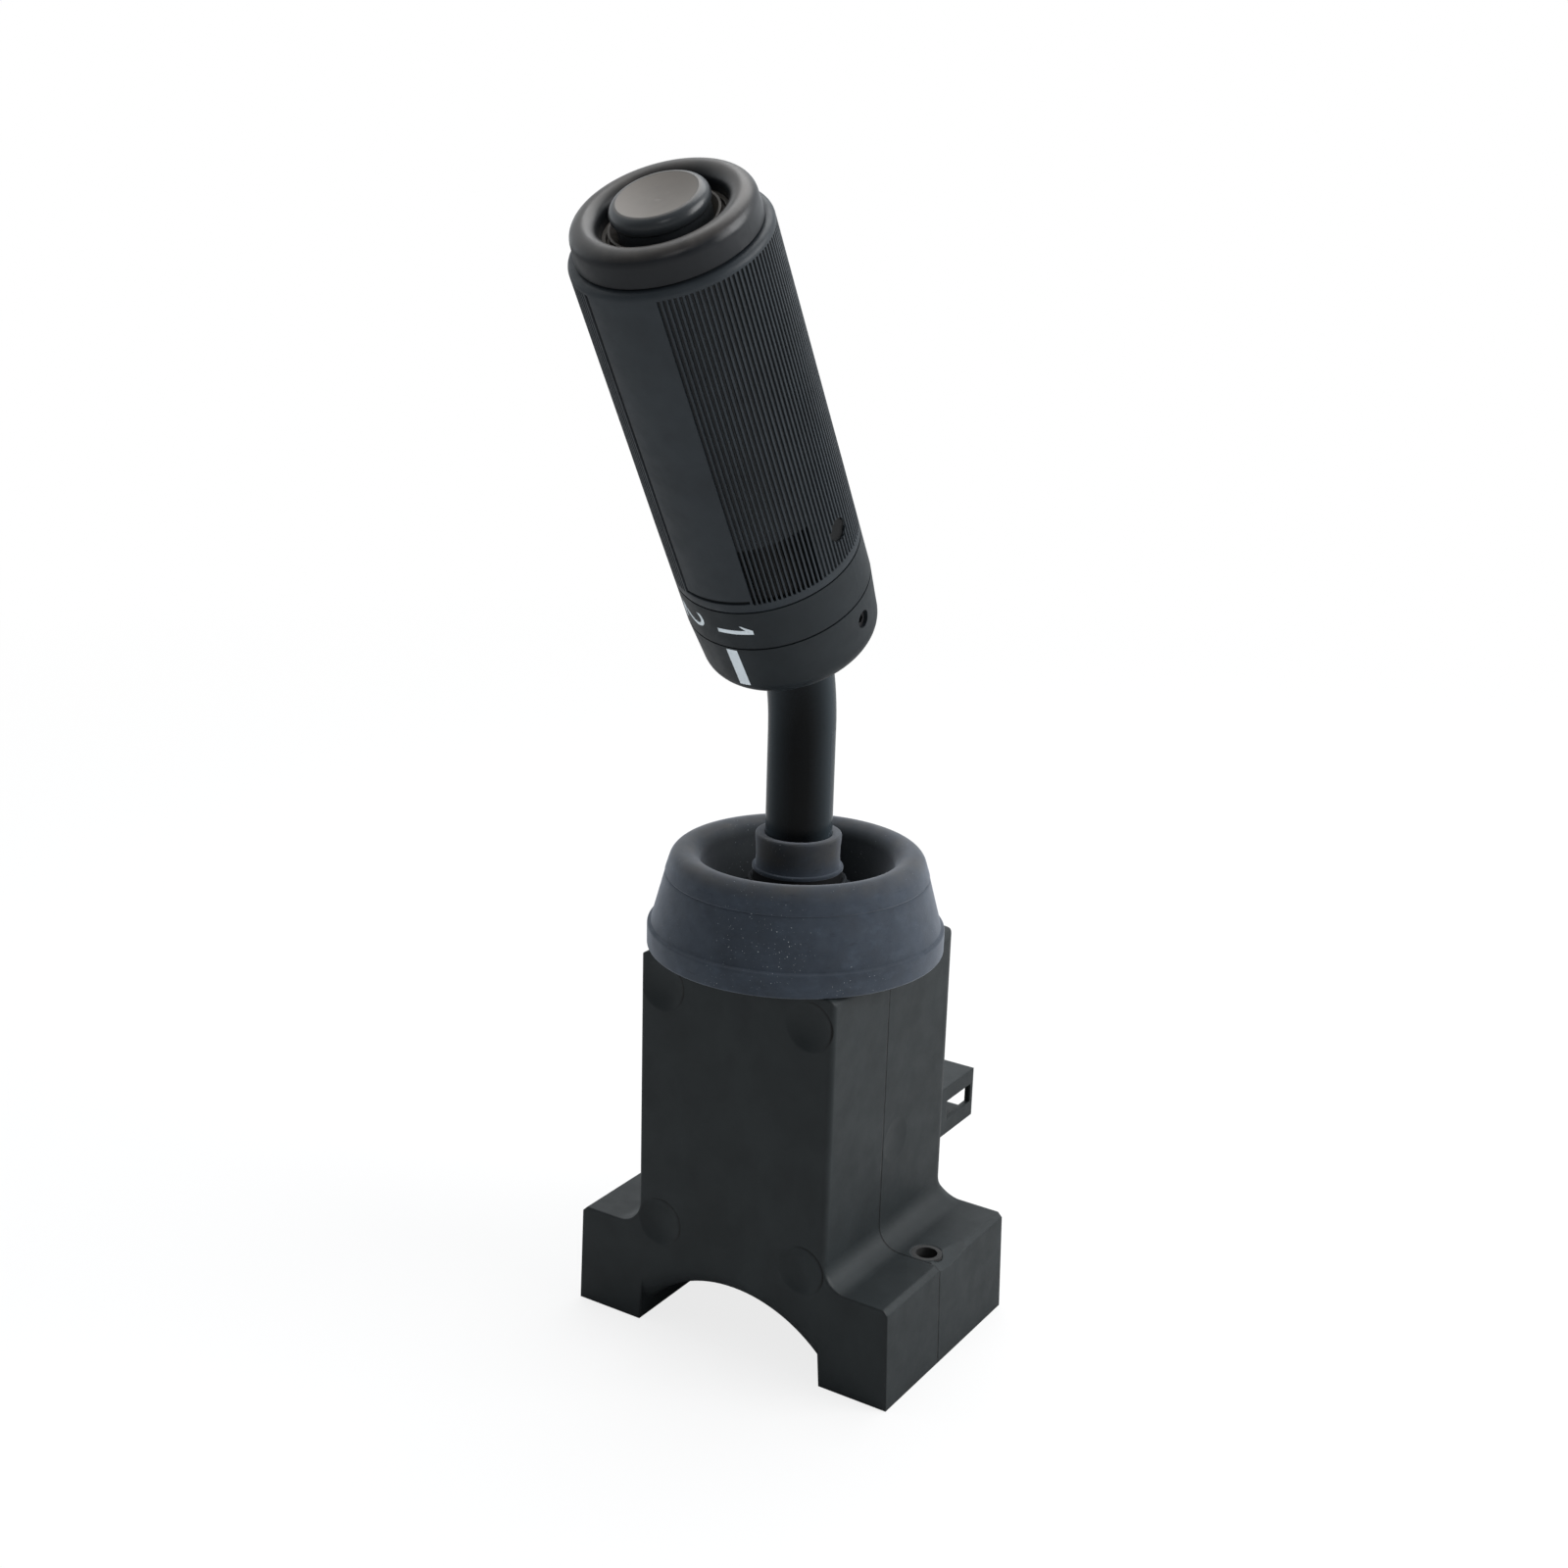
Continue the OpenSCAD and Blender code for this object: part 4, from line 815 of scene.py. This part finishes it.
class STALK_OT_collar(bpy.types.Operator):
    """Turn the rubber collar at the foot of the tube, with its thin foot lip and soft rim"""

    bl_idname = "stalk.collar"
    bl_label = "Tube collar"

    def execute(self, context):
        low, high = (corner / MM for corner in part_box("tube_collar"))
        foot, top = low.z, high.z
        lip_r, side_r, bore = (high.x - low.x) / 2, 10.3, 8.05
        outline = [(bore, foot), (lip_r - 0.15, foot), (lip_r, foot + 0.15), (lip_r, foot + 0.6)]
        outline += arc((lip_r - 0.25, foot + 0.65), 0.25, 0, 90, 4)
        outline += [(side_r - 0.02, foot + 1.0), (side_r - 0.12, foot + 1.4), (side_r - 0.28, foot + 3.2),
                    (side_r - 0.22, foot + 5.4), (side_r - 0.02, top - 1.3)]
        outline += arc((side_r - 0.5, top - 0.5), 0.5, 0, 90, 6)
        outline += [(bore + 0.5, top), (bore + 0.15, top - 0.12), (bore, top - 0.4)]
        collar = turned("collar_sleeve", outline, 120)
        give(collar, "boot_rubber")
        settle(collar, STALK_PLACE)
        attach(collar, "lever")
        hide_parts("tube_collar")
        return {"FINISHED"}


class STALK_OT_sleeve(bpy.types.Operator):
    """Extrude the ribbed sleeve with its smooth panel, patch of deep grooves, line and plug hole"""

    bl_idname = "stalk.sleeve"
    bl_label = "Ribbed sleeve"

    def execute(self, context):
        ribs = context.scene.stalk_ribs
        low, high, foot_r = along_grip("grip_sleeve")
        top_r, bore, shoulder = foot_r - 0.17, 17.05, 1.4
        skin_r = bore + 2
        # Half the width of the panel's line in degrees, and its depth in mm
        line_half, line_depth = 1.35, 0.5
        rib_low, rib_high, patch_high = low + 2.1, high - 1.7, low + 16.4
        groove_low, line_low, line_high = rib_low + 0.25, rib_low + 0.4, rib_low + 1.1
        outline = [(foot_r - 0.45, low), (foot_r - 0.15, low + 0.08)]
        outline += [(foot_r, level) for level in (low + 0.4, rib_low, groove_low, line_low - 0.12, line_low,
                                                  line_high, line_high + 0.12, patch_high - 0.3, patch_high)]
        outline += [((foot_r + top_r) / 2, (low + high) / 2), (top_r, rib_high - 0.25), (top_r, rib_high)]
        outline += arc((top_r - shoulder, high - shoulder), shoulder, 0, 90, 8) + [(bore, high)]
        deselect()
        points_per_rib = 8
        steps = round(points_per_rib * 360 / ribs.pitch)
        centre = (0, 0, low * MM)
        bpy.ops.mesh.primitive_circle_add(vertices=steps, radius=bore * MM, location=centre)
        sleeve = added("ribbed_sleeve")
        edit(sleeve)
        # The ring is turned so that four points stand on each ridge and four in each groove
        spare = (ribs.panel_high + ribs.pitch / points_per_rib / 2) % (360 / steps)
        bpy.ops.transform.rotate(value=-math.radians(spare), orient_axis="Z", center_override=centre)
        radius, station = bore, low
        for wide, level in outline:
            grow = wide / radius
            extrude(0, 0, level - station)
            bpy.ops.transform.resize(value=(grow, grow, 1), center_override=(0, 0, level * MM))
            radius, station = wide, level
        leave_edit()
        keep_place()
        slack, groove_high = 0.01, rib_high - 0.2
        # Shares of the pitch between which a groove lies
        groove_start, groove_end = 0.28, 0.72

        def groove_at(point):
            """The number of the groove that a point lies in, counted from the panel, or -1."""
            across = (turn_of(point) - ribs.panel_high) % 360
            step = across % ribs.pitch / ribs.pitch
            if across > 360 - ribs.panel_high + ribs.panel_low - ribs.pitch or point.xy.length < skin_r:
                return -1
            return int(across / ribs.pitch) if groove_start < step < groove_end else -1

        def fine(point):
            first = 0 if point.z > patch_high - slack else ribs.patch_grooves
            return groove_at(point) >= first and groove_low - slack < point.z < groove_high

        def deep(point):
            in_patch = groove_low - slack < point.z < patch_high - 0.1
            return in_patch and 0 <= groove_at(point) < ribs.patch_grooves

        def line(point):
            off, panel = turn_of(point) - ribs.panel_low, ribs.panel_high - ribs.panel_low
            side = abs(off) < line_half and line_low - slack < point.z < groove_high
            foot = -line_half < off < panel - 1.2 and line_low - slack < point.z < line_high + slack
            return (side or foot) and point.xy.length > skin_r

        for wanted, depth in ((fine, ribs.depth), (deep, ribs.patch_depth), (line, line_depth)):
            choose(sleeve, wanted)
            factor = 1 - depth / foot_r
            bpy.ops.transform.resize(value=(factor, factor, 1), center_override=(0, 0, 0))
        choose(sleeve, lambda point: point.xy.length < bore + slack)
        bpy.ops.mesh.select_mode(type="EDGE")
        bpy.ops.mesh.bridge_edge_loops()
        close_up(sleeve, 38)
        plug = [GRIP_PLACE.inverted() @ vertex.co for vertex in frame["nodes"]["sleeve_plug"].data.vertices]
        middle = sum(plug, Vector()) / len(plug)
        plug_r, reach = 2.65, 20
        deselect()
        bpy.ops.mesh.primitive_cylinder_add(vertices=48, radius=plug_r * MM, depth=reach * MM)
        cutter = bpy.context.object
        cutter.matrix_world = (Matrix.Rotation(math.atan2(middle.y, middle.x), 4, "Z")
                               @ Matrix.Translation((reach * MM, 0, middle.z))
                               @ Matrix.Rotation(math.pi / 2, 4, "Y"))
        apply_modifier(sleeve, "BOOLEAN", operation="DIFFERENCE", solver="EXACT", object=cutter)
        bpy.data.objects.remove(cutter)
        close_up(sleeve, 38)
        give(sleeve, "ribbed_sleeve")
        settle(sleeve, GRIP_PLACE)
        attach(sleeve, "grip")
        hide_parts("grip_sleeve")
        return {"FINISHED"}


def print_on_grip(piece, turn, station, node, lift):
    """Prints a flat piece, drawn round the origin with its top towards +Y, on a node's skin."""
    skin_r, clear = along_grip(node)[2], 1.5
    stand = Matrix.Translation(((skin_r + clear) * MM, 0, station * MM))
    face = Matrix(((0, 0, 1), (0, 1, 0), (-1, 0, 0))).to_4x4()
    pick(piece)
    piece.matrix_world = GRIP_PLACE @ Matrix.Rotation(math.radians(turn - 90), 4, "Z") @ stand @ face
    apply_modifier(piece, "SHRINKWRAP", target=frame["nodes"][node], wrap_method="PROJECT",
                   use_project_z=True, use_positive_direction=False, use_negative_direction=True,
                   offset=lift * MM)
    apply_modifier(piece, "SOLIDIFY", thickness=2 * lift * MM, offset=-1)
    keep_place()
    close_up(piece, 40)
    give(piece, "white_marking")


def draw_one(length):
    """The number 1 as a plain stroke with a slanting flag, lying in the XY plane."""
    deselect()
    bpy.ops.mesh.primitive_plane_add(size=MM)
    one = bpy.context.object
    # Width of the stroke, and root, reach, drop and tip of its flag
    stroke, flag, reach, drop, tip = 1.05, 1.6, 1.2, 1.9, 0.25
    one.scale = (stroke, length, 1)
    keep_place()
    edit(one)
    bpy.ops.mesh.bisect(plane_co=(0, (length / 2 - flag) * MM, 0), plane_no=(0, 1, 0))
    choose(one, lambda point: point.x < 0 and point.y > length / 2 - flag - 0.1)
    extrude(-reach, -drop, 0)
    bpy.ops.transform.resize(value=(1, tip, 1))
    leave_edit()
    return one


def draw_digit(digit, width, length):
    """A number of the built-in font, a little thinned, as a flat mesh of the given size in mm."""
    deselect()
    bpy.ops.object.text_add()
    text = bpy.context.object
    text.data.body = digit
    thinning, weld = -0.012, 1e-4
    text.data.offset = thinning
    bpy.ops.object.convert(target="MESH")
    number = bpy.context.object
    edit(number)
    bpy.ops.mesh.remove_doubles(threshold=weld)
    leave_edit()
    size = number.dimensions
    number.scale = (width * MM / size.x, length * MM / size.y, 1)
    keep_place()
    return number


class STALK_OT_marks(bpy.types.Operator):
    """Print the numbers 1 to 4 on the turning band and the index line on the fixed ring"""

    bl_idname = "stalk.marks"
    bl_label = "Numbers and index line"

    def execute(self, context):
        settings = context.scene.stalk_marks
        band_low, band_high, _ = along_grip("number_band")
        station = (band_low + band_high) / 2 + 0.3
        for place, digit in enumerate("1234"):
            if digit == "1":
                number = draw_one(settings.digit_length)
            else:
                number = draw_digit(digit, settings.digit_width, settings.digit_length)
            number.name = number.data.name = "number_" + digit
            bpy.ops.object.origin_set(type="ORIGIN_GEOMETRY", center="BOUNDS")
            number.location = (0, 0, 0)
            # Rows of points let the flat number follow the band
            rows, row = 9, 0.45
            edit(number)
            for cut in range(-rows, rows + 1):
                bpy.ops.mesh.select_all(action="SELECT")
                bpy.ops.mesh.bisect(plane_co=(0, cut * row * MM, 0), plane_no=(0, 1, 0))
            turn = settings.first_turn - place * settings.pitch
            print_on_grip(number, turn, station, "number_band", settings.print_lift)
            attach(number, "grip")
        ring_low, ring_high, _ = along_grip("index_ring")
        low, high = ring_low + 4.2, ring_high - 0.4
        deselect()
        bpy.ops.mesh.primitive_grid_add(x_subdivisions=22, y_subdivisions=6, size=MM)
        bar = added("index_line")
        bar.scale = (high - low, settings.bar_width, 1)
        keep_place()
        print_on_grip(bar, settings.bar_turn, (low + high) / 2, "index_ring", settings.print_lift)
        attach(bar, "lever")
        return {"FINISHED"}


# Stage

class STALK_OT_stage(bpy.types.Operator):
    """Set up the pale floor, the soft lights and the camera at the photographed angle"""

    bl_idname = "stalk.stage"
    bl_label = "Stage"

    def execute(self, context):
        scene, settings = context.scene, context.scene.stalk_stage
        self.floor()
        self.surround(scene, settings.surround, settings.front)
        for name, place, size, power in (("side_softbox", (0.85, 0.28, 0.62), 0.7, settings.key),
                                         ("top_softbox", (-0.1, 0.35, 1.15), 0.8, settings.top),
                                         ("front_softbox", (0.5, -1.0, 0.72), 0.2, settings.fill)):
            self.softbox(scene, name, place, size, power)
        self.camera(scene)
        scene.view_settings.view_transform = "Standard"
        return {"FINISHED"}

    def floor(self):
        deselect()
        bpy.ops.mesh.primitive_plane_add(size=8)
        floor = added("floor")
        material = bpy.data.materials.new("White floor")
        nodes = Nodes(material)
        nodes.tree.nodes.clear()
        # Gloss on the plastics mirrors a greyer floor, as in the photographed studio
        lit, mirrored = 0.86, 0.4
        path, plain = nodes.node("ShaderNodeLightPath"), nodes.node("ShaderNodeBsdfDiffuse")
        nodes.join(nodes.spread(path.outputs["Is Glossy Ray"], lit, mirrored, 0, 1), plain.inputs["Color"])
        # The eye sees it fade to plain white between these distances from the middle, in metres
        near, far, share = 0.12, 0.9, 0.8
        away = nodes.vector("LENGTH", nodes.node("ShaderNodeTexCoord").outputs["Object"])
        fade = nodes.times(nodes.seen_directly(), nodes.spread(away, share, 1, near, far))
        glow, mix = nodes.node("ShaderNodeEmission"), nodes.node("ShaderNodeMixShader")
        for source, target in zip((fade, plain.outputs[0], glow.outputs[0]), mix.inputs):
            nodes.join(source, target)
        nodes.join(mix.outputs[0], nodes.node("ShaderNodeOutputMaterial").inputs["Surface"])
        floor.data.materials.append(material)

    def surround(self, scene, strength, front):
        """White to the eye, and as a light bright behind the switch and dim on the camera's side."""
        scene.world = bpy.data.worlds.new("White surround")
        nodes = Nodes(scene.world)
        sky = nodes.tree.nodes["Background"]
        towards_camera, cool, white = (0.50, -0.80, -0.33), (0.93, 0.97, 1), (1, 1, 1)
        place = nodes.node("ShaderNodeTexCoord").outputs["Generated"]
        facing = nodes.vector("DOT_PRODUCT", place, towards_camera)
        behind, before = -0.55, 0.45
        room = nodes.spread(facing, strength, strength * front, behind, before,
                            interpolation_type="SMOOTHSTEP")
        direct = nodes.seen_directly()
        nodes.join(nodes.combine("MAXIMUM", direct, room), sky.inputs["Strength"])
        nodes.join(nodes.tint(direct, cool, white), sky.inputs["Color"])

    def softbox(self, scene, name, place, size, power):
        lamp = bpy.data.objects.new(name, bpy.data.lights.new(name, "AREA"))
        scene.collection.objects.link(lamp)
        lamp.data.size = size
        lamp.data.energy = power
        lamp.location = place
        middle = Vector((0, 0, 0.13))
        lamp.rotation_euler = (middle - Vector(place)).to_track_quat("-Z", "Y").to_euler()

    def camera(self, scene):
        """The camera fitted to the housing's corners in the photo."""
        azimuth, elevation, roll = (math.radians(angle) for angle in (32.037, 16.744, 1.72))
        place, focal_px, photo_px, sensor = (0.2496, -0.4097, 0.2824), 2150.7, 1600, 36
        camera = bpy.data.objects.new("photo_camera", bpy.data.cameras.new("photo_camera"))
        scene.collection.objects.link(camera)
        camera.matrix_world = (Matrix.Translation(place) @ Matrix.Rotation(azimuth, 4, "Z")
                               @ Matrix.Rotation(math.pi / 2 - elevation, 4, "X")
                               @ Matrix.Rotation(roll, 4, "Z"))
        camera.data.sensor_width = sensor
        camera.data.lens = focal_px / photo_px * sensor
        camera.data.clip_start = 0.01
        scene.camera = camera


PIECES = (STALK_OT_solids, STALK_OT_boot, STALK_OT_bellows, STALK_OT_collar, STALK_OT_sleeve,
          STALK_OT_marks, STALK_OT_springs, STALK_OT_stage)
SETTINGS = (("stalk_colours", StalkColours), ("stalk_boot", StalkBoot), ("stalk_ribs", StalkRibs),
            ("stalk_marks", StalkMarks), ("stalk_stage", StalkStage))


class STALK_PT_pieces(bpy.types.Panel):
    """Lists the pieces of the stalk switch"""

    bl_label = "Stalk switch"
    bl_idname = "STALK_PT_pieces"
    bl_space_type = "VIEW_3D"
    bl_region_type = "UI"
    bl_category = "Stalk switch"

    def draw(self, context):
        for piece in PIECES:
            self.layout.operator(piece.bl_idname)
        for setting, _ in SETTINGS:
            group = getattr(context.scene, setting)
            box = self.layout.box()
            for name in group.bl_rna.properties.keys():
                if name not in ("rna_type", "name"):
                    box.prop(group, name)


def register():
    for name, group in SETTINGS:
        bpy.utils.register_class(group)
        setattr(bpy.types.Scene, name, PointerProperty(type=group))
    for kind in (*PIECES, STALK_PT_pieces):
        bpy.utils.register_class(kind)


def unregister():
    for kind in (STALK_PT_pieces, *reversed(PIECES)):
        bpy.utils.unregister_class(kind)
    for name, group in reversed(SETTINGS):
        delattr(bpy.types.Scene, name)
        bpy.utils.unregister_class(group)


def main():
    register()
    for piece in PIECES:
        group, action = piece.bl_idname.split(".")
        getattr(getattr(bpy.ops, group), action)()
    deselect()


if __name__ == "__main__":
    main()
